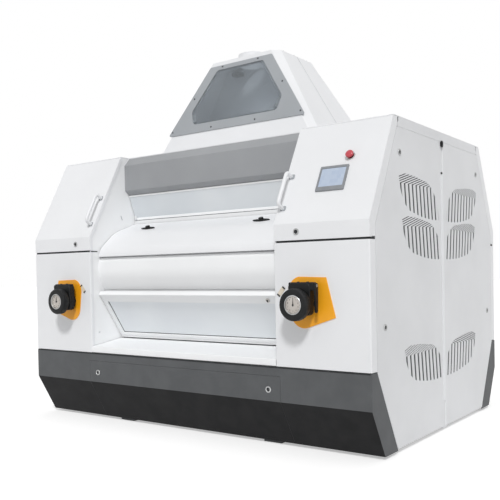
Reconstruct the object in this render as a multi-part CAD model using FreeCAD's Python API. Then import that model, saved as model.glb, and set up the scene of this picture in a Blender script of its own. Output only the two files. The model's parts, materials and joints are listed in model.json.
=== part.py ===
import FreeCAD, Part
import math
import os
from FreeCAD import Vector

# Pneumatic double roller mill for grinding grain to powder. Millimetres.
# X runs along the grinding rolls, the operator stands at -Y, Z is up.
# Heights are measured from the underside of the base frame. The whole
# machine is raised by its floor pads when the sub-parts are written.

# Body
body_length = 2060.0
body_depth = 1526.0
pad_height = 14.0
deck_height = 1400.0
deck_sheet = 5.0
cover_sheet = 3.0
skirt_sheet = 4.0
seam = 3.0
seat = 0.3

# Base
base_height = 350.0
knee_height = 200.0
toe_inset = 111.0
beam_size = 120.0
beam_wall = 8.0
bearer_out = 80.0
bearer_in = 40.0
base_inset = 30.0
base_length = body_length - 2 * base_inset
base_width = 1264.0
pad_length = 95.0
pad_width = 90.0
anchor_span_x = 930.0
anchor_span_y = 1170.0
anchor_radius = 9.0
access_half_length = 600.0
access_top = 310.0
access_bottom = 12.0
access_lock_x = 538.0
access_lock_z = 250.0
lock_radius = 11.0

# Front opening between the two consoles
opening_half = 580.0
flange_depth = 20.0
cheek_sheet = 4.0
cheek_gap = 0.5
cheek_rear_low = 594.0
cheek_rear_high = 398.0
cheek_step = 830.0
cheek_rear_lobe = 532.0
cheek_lobe_top = 500.0
door_inset = 52.0
door_foot = 125.0
door_bottom = 8.0
door_top = 1352.0

# Consoles
fold_height = 956.0
lip_height = 70.0
lid_gap = 9.0
lip_bottom = fold_height - lip_height
panel_top = lip_bottom - lid_gap
lip_lock_x = 692.0
lip_lock_z = lip_bottom + lip_height / 2
slant_top_inset = 232.0
bend_radius = 5.0

# Side frames and rolls
frame_inner = 632.0
frame_plate = 40.0
frame_shoulder = 560.0
roll_length = 1250.0
roll_radius = 125.0
roll_gap = 0.7
journal_radius = 45.0
journal_fit = 0.05
fast_roll_y = 235.0
fast_roll_z = 800.0
nip_angle = 34.0
arm_reach = 170.0
arm_plate = 34.0
feed_roll_radius = 37.0
feed_roll_y = 352.0
feed_roll_z = 1003.0

# Hopper
hopper_base_x = 541.0
hopper_base_y = 306.0
hopper_top_x = 232.0
hopper_top_y = 187.0
hopper_top_height = 1911.0
hopper_sheet = 4.0
hopper_fold = 38.0
spout_radius = 78.0
spout_wall = 4.0
spout_y = 82.0
spout_top = hopper_top_height + 32.0
spout_bottom = hopper_top_height - 25.0

# Handwheels
wheel_x = 735.0
wheel_z = 621.0
wheel_radius = 66.0
wheel_front = 868.0
wheel_depth = 38.0
wheel_chamfer = 6.0
dial_radius = 40.0
dial_recess = 5.0
spindle_radius = 9.0
spindle_fit = 0.05

door_upper_bend = fold_height - 22.0
door_lower_bend = base_height - 5.0
half_length = body_length / 2
half_depth = body_depth / 2
deck_under = deck_height - deck_sheet
slant_top_y = -half_depth + slant_top_inset
origin = Vector(0, 0, 0)
axis_x = Vector(1, 0, 0)
axis_y = Vector(0, 1, 0)


# Helpers for outlines and solids

def box(x0, x1, y0, y1, z0, z1):
    return Part.makeBox(x1 - x0, y1 - y0, z1 - z0, Vector(x0, y0, z0))


def rod(start, end, radius):
    along = end - start
    return Part.makeCylinder(radius, along.Length, start, along)


def offset_path(path, distance):
    """Mitred copy of an open path, moved to the left of its travel."""
    moved = []
    for i, (a, b) in enumerate(path):
        normals = []
        for j in (i - 1, i):
            if 0 <= j < len(path) - 1:
                u, v = path[j + 1][0] - path[j][0], path[j + 1][1] - path[j][1]
                size = math.hypot(u, v)
                normals.append((-v / size, u / size))
        nu = sum(n[0] for n in normals)
        nv = sum(n[1] for n in normals)
        scale = distance * 2 / (nu * nu + nv * nv) if len(normals) == 2 else distance
        moved.append((a + nu * scale, b + nv * scale))
    return moved


def strip(path, near, far):
    return offset_path(path, near) + offset_path(path, far)[::-1]


def outline(points, radii, place):
    """Closed face through the points, each corner rounded by its radius."""
    edges = []
    count = len(points)
    ends = []
    for i, (a, b) in enumerate(points):
        radius = radii[i]
        before, after = points[i - 1], points[(i + 1) % count]
        d0 = Vector(before[0] - a, before[1] - b, 0).normalize()
        d1 = Vector(after[0] - a, after[1] - b, 0).normalize()
        corner = Vector(a, b, 0)
        if radius <= 0:
            ends.append((corner, None, corner))
            continue
        half = d0.getAngle(d1) / 2
        back = radius / math.tan(half)
        middle = (d0 + d1).normalize()
        centre = corner + middle * (radius / math.sin(half))
        ends.append((corner + d0 * back, centre - middle * radius, corner + d1 * back))
    for i, (start, mid, end) in enumerate(ends):
        if mid is not None:
            edges.append(Part.Arc(place(start), place(mid), place(end)).toShape())
        following = ends[(i + 1) % count][0]
        if (following - end).Length > 1e-6:
            edges.append(Part.LineSegment(place(end), place(following)).toShape())
    return Part.Face(Part.Wire(edges))


def profile(points, x0, x1, radii=None):
    """Solid with a section drawn in (Y, Z), running from x0 to x1."""
    face = outline(points, radii or [0] * len(points), lambda p: Vector(x0, p.x, p.y))
    return face.extrude(Vector(x1 - x0, 0, 0))


def bent_sheet(path, thickness, x0, x1, bends=None):
    """Folded sheet. The path is its outer face, the sheet lies to the left."""
    outer = list(bends or [bend_radius] * (len(path) - 2))
    inner = []
    for i, radius in enumerate(outer):
        (a, b), (c, d), (e, f) = path[i:i + 3]
        turn = (c - a) * (f - d) - (d - b) * (e - c)
        inner.append(radius - thickness if turn > 0 else radius + thickness)
    return profile(strip(path, 0, thickness), x0, x1, [0] + outer + [0, 0] + inner[::-1] + [0])


def plan_sheet(path, thickness, z0, z1):
    """Folded sheet with its path drawn in (X, Y), standing from z0 to z1."""
    points = strip(path, 0, thickness)
    bends = [bend_radius] * (len(path) - 2)
    inner = [bend_radius - thickness] * (len(path) - 2)
    face = outline(points, [0] + bends + [0, 0] + inner + [0], lambda p: Vector(p.x, p.y, z0))
    return face.extrude(Vector(0, 0, z1 - z0))


def tapered(low, low_z, high, high_z):
    """Solid with flat flanks between two like outlines in (X, Y)."""
    foot = [Vector(x, y, low_z) for x, y in low]
    head = [Vector(x, y, high_z) for x, y in high]
    loops = [foot, head]
    for i in range(len(foot)):
        loops.append([foot[i - 1], foot[i], head[i], head[i - 1]])
    faces = [Part.Face(Part.makePolygon(loop + loop[:1])) for loop in loops]
    shell = Part.Shell(faces)
    return Part.makeSolid(shell)


def rectangle(x0, x1, y0, y1):
    return [(x0, y0), (x1, y0), (x1, y1), (x0, y1)]


def fused(*shapes):
    shape = shapes[0].multiFuse(list(shapes[1:]))
    return shape.removeSplitter()


def at_side(shape, side):
    return shape if side == "front" else shape.mirror(origin, axis_y)


def at_corner(shape, side, end):
    placed = shape if end == "right" else shape.mirror(origin, axis_x)
    return at_side(placed, side)


def write(name, *shapes):
    solids = []
    for shape in shapes:
        solids += shape.Solids
    raised = [s.translated(Vector(0, 0, pad_height)) for s in solids]
    whole = raised[0] if len(raised) == 1 else Part.makeCompound(raised)
    whole.exportStep("parts/%s.step" % name)


sides = ("front", "rear")
ends = ("right", "left")
corners = [(side, end) for side in sides for end in ends]


# Outlines of the front half, seen from the right, in (Y, Z)

front_y = -half_depth
knee = (front_y, knee_height)
toe = (front_y + toe_inset, 0)
fold = (front_y, fold_height)
slant_top = (slant_top_y, deck_under)
slant_length = math.hypot(slant_top[0] - fold[0], slant_top[1] - fold[1])
slant_along = ((slant_top[0] - fold[0]) / slant_length, (slant_top[1] - fold[1]) / slant_length)
slant_out = (-slant_along[1], slant_along[0])
cover_path = [slant_top, fold, (front_y, lip_bottom)]
slope_along = ((toe[0] - knee[0]) / math.hypot(toe_inset, knee_height),
               -knee_height / math.hypot(toe_inset, knee_height))


def on_slant(x, up, out=0.0):
    """Point on the sloping console face, a distance up from the fold."""
    y = fold[0] + slant_along[0] * up + slant_out[0] * out
    z = fold[1] + slant_along[1] * up + slant_out[1] * out
    return Vector(x, y, z)


def door_edge_y(z, gap=0.0):
    """Front edge of the side doors, parallel to the outline of the body."""
    upright = front_y + door_inset
    slant = fold[0] + (z - fold[1]) * slant_along[0] / slant_along[1]
    slant += (door_inset - 2) / slant_along[1]
    low = toe[0] + door_foot - z * slope_along[0] / -slope_along[1]
    return max(upright, slant, low) - gap


# Base frame, floor pads and discharge

def make_base():
    half_l, half_w = base_length / 2, base_width / 2
    shapes = []
    for y in (-half_w, half_w - beam_size):
        beam = box(-half_l, half_l, y, y + beam_size, 0, beam_size)
        hollow = box(-half_l, half_l, y + beam_wall, y + beam_size - beam_wall,
                     beam_wall, beam_size - beam_wall)
        shapes.append(beam.cut(hollow))
    for x in (-half_l, half_l - beam_size, -frame_inner - bearer_out, frame_inner - bearer_in):
        beam = box(x, x + beam_size, -half_w + beam_size, half_w - beam_size, 0, beam_size)
        hollow = box(x + beam_wall, x + beam_size - beam_wall, -half_w + beam_size,
                     half_w - beam_size, beam_wall, beam_size - beam_wall)
        shapes.append(beam.cut(hollow))
    pads = []
    for x in (-anchor_span_x / 2, anchor_span_x / 2):
        for y in (-anchor_span_y / 2, anchor_span_y / 2):
            bolt = rod(Vector(x, y, -pad_height), Vector(x, y, beam_size), anchor_radius)
            shapes = [shape.cut(bolt) for shape in shapes]
            pad = box(x - pad_length / 2, x + pad_length / 2, y - pad_width / 2,
                      y + pad_width / 2, -pad_height, 0)
            pads.append(pad.cut(bolt))
    write("base_frame", *shapes, *pads)


hopper_mouth_y = (-500.0, -70.0)
hopper_mouth_top = 400.0
discharge_centre_y = -285.0
discharge_x = 150.0
discharge_y = 90.0
discharge_bottom = 20.0
discharge_flange = 40.0
discharge_bolt_radius = 6.0
discharge_bolt_x = discharge_x + 22
discharge_bolt_y = discharge_y + 22


def make_discharge():
    mouth_x = frame_inner - 42
    y0, y1 = hopper_mouth_y
    wall = hopper_sheet
    cy = discharge_centre_y
    low = discharge_bottom + 8

    def funnel(grow):
        bottom = rectangle(-discharge_x - grow, discharge_x + grow, cy - discharge_y - grow,
                           cy + discharge_y + grow)
        top = rectangle(-mouth_x - grow, mouth_x + grow, y0 - grow, y1 + grow)
        return tapered(bottom, low, top, hopper_mouth_top)

    shell = funnel(wall).cut(funnel(0))
    rim = box(-frame_inner, frame_inner, y0 - 30, y1 + 30, hopper_mouth_top,
              hopper_mouth_top + 6)
    rim = rim.cut(box(-mouth_x, mouth_x, y0, y1, hopper_mouth_top, hopper_mouth_top + 6))
    reach_x = discharge_x + discharge_flange
    reach_y = discharge_y + discharge_flange
    flange = box(-reach_x, reach_x, cy - reach_y, cy + reach_y, discharge_bottom, low)
    flange = flange.cut(box(-discharge_x, discharge_x, cy - discharge_y, cy + discharge_y,
                            discharge_bottom, low))
    for x in (-discharge_bolt_x, discharge_bolt_x):
        for y in (cy - discharge_bolt_y, cy + discharge_bolt_y):
            flange = flange.cut(rod(Vector(x, y, discharge_bottom), Vector(x, y, low),
                                    discharge_bolt_radius))
    trough = fused(shell, rim, flange)
    write("discharge_hoppers", *[at_side(trough, side) for side in sides])


# Dark skirt round the base, with a lift-off access panel

def make_skirts():
    jamb_reach = 16.0
    rear_top = (door_edge_y(base_height, seam), base_height)
    rear_low = (door_edge_y(0, seam), 0)
    path = [rear_top, (front_y, base_height), knee, toe, rear_low]
    bends = [bend_radius] * 3
    skirt = profile(path, -half_length, half_length, [0] + bends + [0])
    clear_path = offset_path([(0, base_height)] + path[1:-1] + [(0, 0)], skirt_sheet)
    clear_half = half_length - skirt_sheet
    skirt = skirt.cut(profile(clear_path, -clear_half, clear_half))
    skirt = skirt.cut(box(-clear_half, clear_half, -base_width / 2, 0, 0, skirt_sheet))
    skirt = skirt.cut(box(-access_half_length, access_half_length, front_y, toe[0] + 20,
                          access_bottom, access_top))
    panel_path = [(front_y, access_top), knee,
                  (toe[0] - slope_along[0] / -slope_along[1] * access_bottom, access_bottom)]
    jamb_path = [(front_y, access_top + jamb_reach)] + panel_path[1:]
    shapes = [skirt]
    for x in (-access_half_length - jamb_reach, access_half_length - jamb_reach):
        shapes.append(profile(strip(jamb_path, skirt_sheet, 2 * skirt_sheet), x,
                              x + 2 * jamb_reach))
    skirt = fused(*shapes)
    write("base_skirts", *[at_side(skirt, side) for side in sides])
    reveal = 0.6
    half = access_half_length - reveal
    clear_path = [(front_y, access_top - reveal), knee, panel_path[2]]
    panel = bent_sheet(clear_path, skirt_sheet - seat, -half, half)
    for x in (-access_lock_x, access_lock_x):
        panel = panel.cut(rod(Vector(x, front_y - 1, access_lock_z),
                              Vector(x, front_y + 9, access_lock_z), lock_radius))
    write("access_panels", *[at_side(panel, side) for side in sides])


# Side frames, tie beams and cheeks

slow_roll_y = -fast_roll_y - (2 * roll_radius + roll_gap) * math.cos(math.radians(nip_angle))
slow_roll_z = fast_roll_z - (2 * roll_radius + roll_gap) * math.sin(math.radians(nip_angle))
arm_dir = (math.sin(math.radians(nip_angle)), -math.cos(math.radians(nip_angle)))
pivot_y = slow_roll_y + arm_dir[0] * arm_reach
pivot_z = slow_roll_z + arm_dir[1] * arm_reach
frame_outer = frame_inner + frame_plate
pivot_radius = 24.0
slow_slot_radius = 62.0
feed_journal_radius = 15.0


def make_side_frame(end):
    half = [(-600, beam_size), (-600, frame_shoulder), (-500, 900), (-400, 1060), (-400, deck_under)]
    points = half + [(-y, z) for y, z in half[::-1]]
    radii = [0, 60, 80, 40, 0, 0, 40, 80, 60, 0]
    plate = profile(points, frame_inner, frame_outer, radii)
    inner, outer = frame_inner - 1, frame_outer + 1
    for sign in (-1, 1):
        holes = [(fast_roll_y * sign, fast_roll_z, journal_radius + 6),
                 (-slow_roll_y * sign, slow_roll_z, slow_slot_radius),
                 (feed_roll_y * sign, feed_roll_z, feed_journal_radius + journal_fit)]
        for y, z, radius in holes:
            plate = plate.cut(rod(Vector(inner, y, z), Vector(outer, y, z), radius))
        pin = rod(Vector(frame_outer, -pivot_y * sign, pivot_z),
                  Vector(frame_outer + 2 * seat + arm_plate, -pivot_y * sign, pivot_z),
                  pivot_radius)
        plate = plate.fuse(pin)
        window = [(310 * sign, 200), (310 * sign, 390), (120 * sign, 390), (120 * sign, 200)]
        plate = plate.cut(profile(window, inner, outer, [40] * 4))
    plate = plate.removeSplitter()
    write(end + "_side_frame", at_corner(plate, "front", end))


tie_low = (150.0, 290.0)
tie_high = (1080.0, 1180.0)
tie_low_half = 70.0
tie_high_half = 50.0
tie_wall = 11.0
chute_foot = (245.0, 985.0)
chute_sheet = 10.0
wall_top = 1330.0


def make_centre_wall():
    reach = frame_inner
    half = chute_sheet / 2
    shapes = [box(-reach, reach, -half, half, tie_low[1], tie_high[0]),
              box(-reach, reach, -half, half, tie_high[1], wall_top)]
    for (low, high), size in ((tie_low, tie_low_half), (tie_high, tie_high_half)):
        tie = box(-reach, reach, -size, size, low, high)
        shapes.append(tie.cut(box(-reach, reach, -size + tie_wall, size - tie_wall,
                                  low + tie_wall, high - tie_wall)))
    foot_y, foot_z = chute_foot
    chute = profile([(-tie_high_half, tie_high[1] - 1.5 * chute_sheet),
                     (-tie_high_half, tie_high[1]), (-foot_y, foot_z),
                     (-foot_y + chute_sheet, foot_z)], -reach, reach)
    shapes += [at_side(chute, side) for side in sides]
    write("centre_wall", *shapes)


cheek_inner = opening_half + cover_sheet + cheek_gap
cheek_outer = cheek_inner + cheek_sheet


def make_cheeks():
    clear = offset_path(cover_path, cover_sheet + seam)
    points = [(front_y + cover_sheet + bend_radius, base_height),
              (front_y + cover_sheet + bend_radius, panel_top - 20),
              (clear[1][0], panel_top - 20), clear[1], (clear[0][0], deck_under),
              (-cheek_rear_high, deck_under), (-cheek_rear_high, cheek_step),
              (-cheek_rear_low, cheek_step), (-cheek_rear_low, cheek_lobe_top),
              (-cheek_rear_lobe, cheek_lobe_top), (-cheek_rear_lobe, base_height)]
    plate = profile(points, cheek_inner, cheek_outer)
    for y, z in cheek_bores:
        bore = rod(Vector(cheek_inner - 1, y, z), Vector(cheek_outer + 1, y, z),
                   hinge_pin_radius + spindle_fit)
        plate = plate.cut(bore)
    high_web = box(cheek_inner, frame_inner, -cheek_rear_high - cheek_sheet, -cheek_rear_high,
                   cheek_step, deck_under)
    low_web = box(cheek_inner, frame_inner, -cheek_rear_low - cheek_sheet, -cheek_rear_low,
                  hopper_mouth_top + 20, frame_shoulder)
    plate = fused(plate, high_web, low_web)
    write("cheek_plates", *[at_corner(plate, side, end) for side, end in corners])


# Centre section: sill, flap, covers, guard and feed window

flap_hinge = (-546.0, 421.0)
guard_hinge = (-692.0, 863.0)
window_hinge = (-470.0, 1187.4)
cheek_bores = [flap_hinge, guard_hinge, window_hinge]
hinge_pin_radius = 4.0
barrel_radius = 6.0
window_barrel_radius = 5.0
swing_half = opening_half - 1.0
flap_along = (-150.0, 227.0)
flap_depth = 14.0
flap_frame = 28.0
flap_pane = 5.0
flap_rebate = 12.0
guard_ledge = (-442.0, 1033.0)
guard_crown = (-591.0, 981.0)
guard_lip_top = (-701.0, 886.0)
guard_lip = (-705.0, 852.0)
guard_path = [guard_ledge, guard_crown, guard_lip_top, guard_lip]
guard_bends = [200.0, 80.0]
guard_web = [(9.2, 28.0), (5.2, 18.0), (2.0, 3.0), (15.0, 8.0), (16.0, 28.0)]
rib_depth = 45.0
rib_end = 34.0
knob_x = 366.0
knob_y = -548.0


def hinge_rod(place, radius):
    """Barrel along X with a pin at each end that turns in the cheeks."""
    y, z = place
    barrel = rod(Vector(-swing_half, y, z), Vector(swing_half, y, z), radius)
    pin = rod(Vector(-cheek_outer, y, z), Vector(cheek_outer, y, z),
              hinge_pin_radius)
    return barrel.fuse(pin)


sill_path = [(flap_hinge[0] - 10, flap_hinge[1] - 8.5), (front_y, base_height + 33),
             (front_y, base_height + 2), (front_y + flange_depth + 4, base_height + 2)]


def make_sills():
    half = opening_half - cheek_gap
    sill = bent_sheet(sill_path, cover_sheet, -half, half)
    write("sills", *[at_side(sill, side) for side in sides])


middle_top = 838.0
middle_foot = 676.0
middle_back = -640.0
middle_path = [(middle_back, middle_top), (-701.0, middle_top), (-706.0, 760.0),
               (-668.0, middle_foot), (middle_back, middle_foot)]
middle_bends = [14.0, 110.0, 8.0]


def make_middle_covers():
    cover = bent_sheet(middle_path, cover_sheet, -cheek_inner, cheek_inner, middle_bends)
    write("middle_covers", *[at_side(cover, side) for side in sides])


feed_cover_path = [(-462.0, deck_under), (-500.0, 1353.0), (-499.0, 1216.0), (-471.0, 1193.0),
                   (-430.0, 1193.0)]


def make_feed_covers():
    cover = bent_sheet(feed_cover_path, cover_sheet, -cheek_inner, cheek_inner)
    write("feed_covers", *[at_side(cover, side) for side in sides])


def flap_point(x, up, inward):
    size = math.hypot(*flap_along)
    u, v = flap_along[0] / size, flap_along[1] / size
    foot = (-548.0, 418.0)
    return Vector(x, foot[0] + u * up + v * inward, foot[1] + v * up - u * inward)


def slanted_block(point, x0, x1, up0, up1, in0, in1):
    """Block standing square to a sloping plate."""
    loop = [point(x0, up0, in0), point(x0, up1, in0), point(x0, up1, in1), point(x0, up0, in1),
            point(x0, up0, in0)]
    return Part.Face(Part.makePolygon(loop)).extrude(Vector(x1 - x0, 0, 0))


def make_flaps():
    length = math.hypot(*flap_along)
    frame = slanted_block(flap_point, -swing_half, swing_half, 4, length, 0, flap_depth)
    hole_x = swing_half - flap_frame
    up0, up1 = flap_frame, length - flap_frame - 8
    frame = frame.cut(slanted_block(flap_point, -hole_x, hole_x, up0, up1, -1, flap_depth + 1))
    step = flap_rebate
    frame = frame.cut(slanted_block(flap_point, -hole_x - step, hole_x + step, up0 - step,
                                    up1 + step, flap_depth - flap_pane - 1, flap_depth + 1))
    pull = [(-711, 652), (-698, 670), (-686, 661), (-694, 640)]
    frame = fused(frame, profile(pull, -swing_half, swing_half),
                  hinge_rod(flap_hinge, barrel_radius))
    step = flap_rebate - seat
    pane = slanted_block(flap_point, -hole_x - step, hole_x + step, up0 - step, up1 + step,
                         flap_depth - flap_pane - 1 + seat, flap_depth - 1 + seat)
    for side in sides:
        write(side + "_flap", at_side(frame, side))
        write(side + "_flap_pane", at_side(pane, side))


def make_guards():
    shapes = [bent_sheet(guard_path, cover_sheet, -swing_half, swing_half, guard_bends)]
    web = [(guard_lip[0] + y, guard_lip[1] + z) for y, z in guard_web]
    shapes.append(profile(web, -swing_half, swing_half))
    run = Vector(guard_crown[0] - guard_lip_top[0], guard_crown[1] - guard_lip_top[1], 0)
    low = Vector(*guard_lip_top, 0) + run * (rib_end / run.Length)
    rib = strip([guard_ledge, guard_crown, (low.x, low.y)], 0.5, rib_depth)
    rounds = [0, guard_bends[0] - 0.5, 0, 0, guard_bends[0] - rib_depth, 0]
    for x in (-swing_half, swing_half - cover_sheet):
        shapes.append(profile(rib, x, x + cover_sheet, rounds))
    hinge = hinge_rod(guard_hinge, barrel_radius)
    guard = fused(*shapes).cut(hinge)
    for x in (-knob_x, knob_x):
        guard = guard.cut(rod(ledge_point(x, -10), ledge_point(x, 10), knob_stem + spindle_fit))
    for side in sides:
        write(side + "_roll_guard", at_side(guard, side), at_side(hinge, side))


ledge_run = (guard_ledge[0] - guard_crown[0], guard_ledge[1] - guard_crown[1])
ledge_size = math.hypot(*ledge_run)
ledge_along = (ledge_run[0] / ledge_size, ledge_run[1] / ledge_size)
ledge_out = (-ledge_along[1], ledge_along[0])
knob_stem = 5.0
wing_length = 98.0
wing_width = 30.0
wing_height = 7.0
knob_boss_radius = 12.0
knob_boss_height = 17.0


def ledge_point(x, out, along=0.0):
    z = guard_ledge[1] + (knob_y - guard_ledge[0]) * ledge_along[1] / ledge_along[0]
    return Vector(x, knob_y + ledge_out[0] * out + ledge_along[0] * along,
                  z + ledge_out[1] * out + ledge_along[1] * along)


def make_knobs():
    lift = Vector(0, *ledge_out)
    half_l, half_w = wing_length / 2, wing_width / 2
    for side, end in corners:
        corners_of_wing = [(half_l, 0), (10, half_w), (-10, half_w), (-half_l, 0), (-10, -half_w),
                           (10, -half_w), (half_l, 0)]
        loop = [ledge_point(knob_x + a, seat, b) for a, b in corners_of_wing]
        wing = Part.Face(Part.makePolygon(loop)).extrude(lift * wing_height)
        boss = rod(ledge_point(knob_x, seat), ledge_point(knob_x, knob_boss_height),
                   knob_boss_radius)
        stem = rod(ledge_point(knob_x, seat), ledge_point(knob_x, -18), knob_stem)
        knob = fused(wing, boss, stem)
        write("%s_%s_wing_knob" % (side, end), at_corner(knob, side, end))


window_path = [(window_hinge[0] - 1, window_hinge[1] - 1.4), (-427.0, 1066.0)]
window_pane = 6.0
window_trim = [(-430.0, 1070.0), (-431.0, 1058.0), (-394.0, 1066.0), (-394.0, 1076.0),
               (-420.0, 1080.0)]


def make_windows():
    pane = profile(strip(window_path, 0, window_pane), -swing_half, swing_half)
    trim = profile(window_trim, -swing_half, swing_half)
    window = fused(pane, trim, hinge_rod(window_hinge, window_barrel_radius))
    for side in sides:
        write(side + "_feed_window", at_side(window, side))


# Consoles: lower panels, lift-up covers and side doors

def make_lower_panels():
    path = [(half_length, front_y + door_inset - seam), (half_length, front_y),
            (opening_half, front_y), (opening_half, front_y + flange_depth)]
    path = path[::-1]
    panel = plan_sheet(path, cover_sheet, base_height + seam, panel_top)
    panel = panel.cut(rod(Vector(wheel_x, front_y - 1, wheel_z),
                          Vector(wheel_x, front_y + 8, wheel_z), sleeve_radius + seat))
    top = box(cheek_outer + seam, half_length - 1, front_y + 1, front_y + 30,
              panel_top - cover_sheet, panel_top)
    panel = fused(panel, top)
    write("lower_panels", *[at_corner(panel, side, end) for side, end in corners])


cover_hinge = (slant_top_y + 2, deck_under)
cover_barrel_radius = 4.0
handle_x = 605.0
handle_low = 77.0
handle_high = 237.0
handle_standoff = 42.0
handle_radius = 6.0
screen_x = 815.0
screen_up = 208.0
screen_width = 134.0
screen_height = 122.0
screen_proud = 7.0
stop_x = 876.0
stop_up = 314.0
stop_stem = 8.0
screen_back_x = 50.0
screen_back_up = 45.0
weld_root = 0.1


def make_handle():
    bend = 16.0
    low, high, out = handle_low, handle_high, handle_standoff
    chord = bend * (1 - math.sqrt(0.5))

    def place(up, height):
        return on_slant(handle_x, up, height)

    edges = [Part.LineSegment(place(low, 0), place(low, out - bend)),
             Part.Arc(place(low, out - bend), place(low + chord, out - chord),
                      place(low + bend, out)),
             Part.LineSegment(place(low + bend, out), place(high - bend, out)),
             Part.Arc(place(high - bend, out), place(high - chord, out - chord),
                      place(high, out - bend)),
             Part.LineSegment(place(high, out - bend), place(high, 0))]
    spine = Part.Wire([edge.toShape() for edge in edges])
    ring = Part.Wire(Part.makeCircle(handle_radius, place(low, 0), Vector(0, *slant_out)))
    return spine.makePipeShell([ring], True, False)


def make_covers():
    x0, x1 = opening_half, half_length
    inner = offset_path(cover_path, cover_sheet + weld_root)
    top, bend, low = inner
    barrel = rod(Vector(x0 + 20, *cover_hinge), Vector(x1 - 20, *cover_hinge),
                 cover_barrel_radius)
    face = bent_sheet(cover_path, cover_sheet, x0, x1).cut(barrel)
    lock = rod(Vector(lip_lock_x, front_y - 1, lip_lock_z),
               Vector(lip_lock_x, front_y + 9, lip_lock_z), lock_radius)
    face = face.cut(lock)
    flange = profile(strip(cover_path, cover_sheet + weld_root, flange_depth), x0,
                     x0 + cover_sheet)
    rim = box(cheek_outer + seam, x1 - cover_sheet, front_y + cover_sheet, front_y + 28,
              lip_bottom, lip_bottom + cover_sheet)
    edge_top = slant_top_y + 40
    elbow = (door_edge_y(door_upper_bend, seam), door_upper_bend)
    low_side = [(low[0], lip_bottom + cover_sheet), bend, elbow,
                (door_edge_y(lip_bottom, seam), lip_bottom + cover_sheet)]
    high_side = [bend, top, (edge_top, deck_under), (edge_top, door_top + 17), elbow]
    flanks = [profile(points, x1 - cover_sheet, x1) for points in (low_side, high_side)]
    handle = make_handle()
    for side, end in corners:
        shapes = [face]
        if (side, end) == ("front", "right"):
            bore = rod(on_slant(stop_x, stop_up, -12), on_slant(stop_x, stop_up, 12),
                       stop_stem + spindle_fit)
            window = slanted_block(on_slant, screen_x - screen_back_x, screen_x + screen_back_x,
                                   screen_up - screen_back_up, screen_up + screen_back_up, -9, 9)
            collar = rod(on_slant(stop_x, stop_up), on_slant(stop_x, stop_up, 4), 20)
            shapes = [face.cut(bore).cut(window), collar.cut(bore)]
        shapes += [flange, rim, *flanks, barrel, handle]
        write("%s_%s_cover" % (side, end), *[at_corner(shape, side, end) for shape in shapes])


def make_controls():
    half_w, half_h = screen_width / 2, screen_height / 2
    bezel = slanted_block(on_slant, screen_x - half_w, screen_x + half_w, screen_up - half_h,
                          screen_up + half_h, 0, screen_proud)
    bezel = bezel.cut(slanted_block(on_slant, screen_x - half_w + 12, screen_x + half_w - 12,
                                    screen_up - half_h + 14, screen_up + half_h - 14,
                                    screen_proud - 1.5, screen_proud + 1))
    back_x, back_up = screen_back_x - 0.5, screen_back_up - 0.5
    back = slanted_block(on_slant, screen_x - back_x, screen_x + back_x, screen_up - back_up,
                         screen_up + back_up, -35, 0)
    write("touch_screen", fused(bezel, back))
    top = 22.0
    cap = rod(on_slant(stop_x, stop_up, 9), on_slant(stop_x, stop_up, top), 17)
    rim = [edge for edge in cap.Edges if abs(edge.BoundBox.ZMax - cap.BoundBox.ZMax) < 1e-3]
    cap = cap.makeChamfer(4, rim)
    stem = rod(on_slant(stop_x, stop_up, -16), on_slant(stop_x, stop_up, 9), stop_stem)
    write("stop_button", fused(cap, stem))


door_flange = 24.0
post_half = 11.0
door_hinge_y = -post_half - 0.5
hinge_round = 8.0
door_pin_radius = 4.0
door_axis_x = half_length - hinge_round
door_axis_y = door_hinge_y - hinge_round
lug_sheet = 8.0
lug_reach = 30.0
door_locks = [(-475.0, 1248.0), (-637.0, 523.0)]
leaf_offsets = [(0.0, 0.0), (27.0, -181.0), (36.0, -738.0)]
slot_pitch = 40.6
slot_width = 18.0
slot_count = 15
slots_above = 4
slot_lean = 0.13
slot_rise = 0.26
ridge_rise = 0.016


def leaf_face():
    """Leaf-shaped field of one vent, drawn at the front upper place."""
    x = half_length - 2 * cover_sheet
    tip, top, shoulder = (-488, 1162), (-355, 1163), (-225, 1151)
    bow, end, keel = (-102, 1104), (-45, 983), (-190, 984)
    turn, belly, heel = (-332, 1001), (-430, 1040), (-474, 1104)

    def place(p):
        return Vector(x, p[0], p[1])

    edges = [Part.Arc(place(a), place(b), place(c)).toShape()
             for a, b, c in ((tip, top, shoulder), (shoulder, bow, end), (end, keel, turn),
                             (turn, belly, heel))]
    edges.append(Part.LineSegment(place(heel), place(tip)).toShape())
    return Part.Face(Part.Wire(edges))


def leaf_slots():
    """Leaning slots that turn at a ridge and run on nearly level along the leaf's top edge."""
    ridge = Vector(half_length - 2 * cover_sheet, -466.0, 1121.0)
    step = Vector(0, slot_pitch, slot_pitch * ridge_rise)
    half = step * (slot_width / slot_pitch / 2)
    down = Vector(0, slot_lean, -1) * 220
    up = Vector(0, 1, slot_rise) * 400
    field = leaf_face()
    slots = []
    for k in range(-slots_above, slot_count - slots_above):
        low, high = ridge + step * k - half, ridge + step * k + half
        loop = [low, low + down, high + down, high, high + up, low + up, low]
        band = Part.Face(Part.makePolygon(loop))
        for face in band.common(field).Faces:
            if face.Area > 150:
                slots.append(face.extrude(Vector(3 * cover_sheet, 0, 0)))
    return slots


def rounded_edge(shape, radius):
    """Round the upright edge of a door next to its hinge axis."""
    def upright(edge):
        b = edge.BoundBox
        return (b.ZLength > door_top / 2 and b.XLength < 1e-6 and b.YLength < 1e-6
                and abs(b.XMax - shape.BoundBox.XMax) < 1e-6
                and abs(b.YMax - shape.BoundBox.YMax) < 1e-6)

    return shape.makeFillet(radius, [edge for edge in shape.Edges if upright(edge)])


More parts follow.
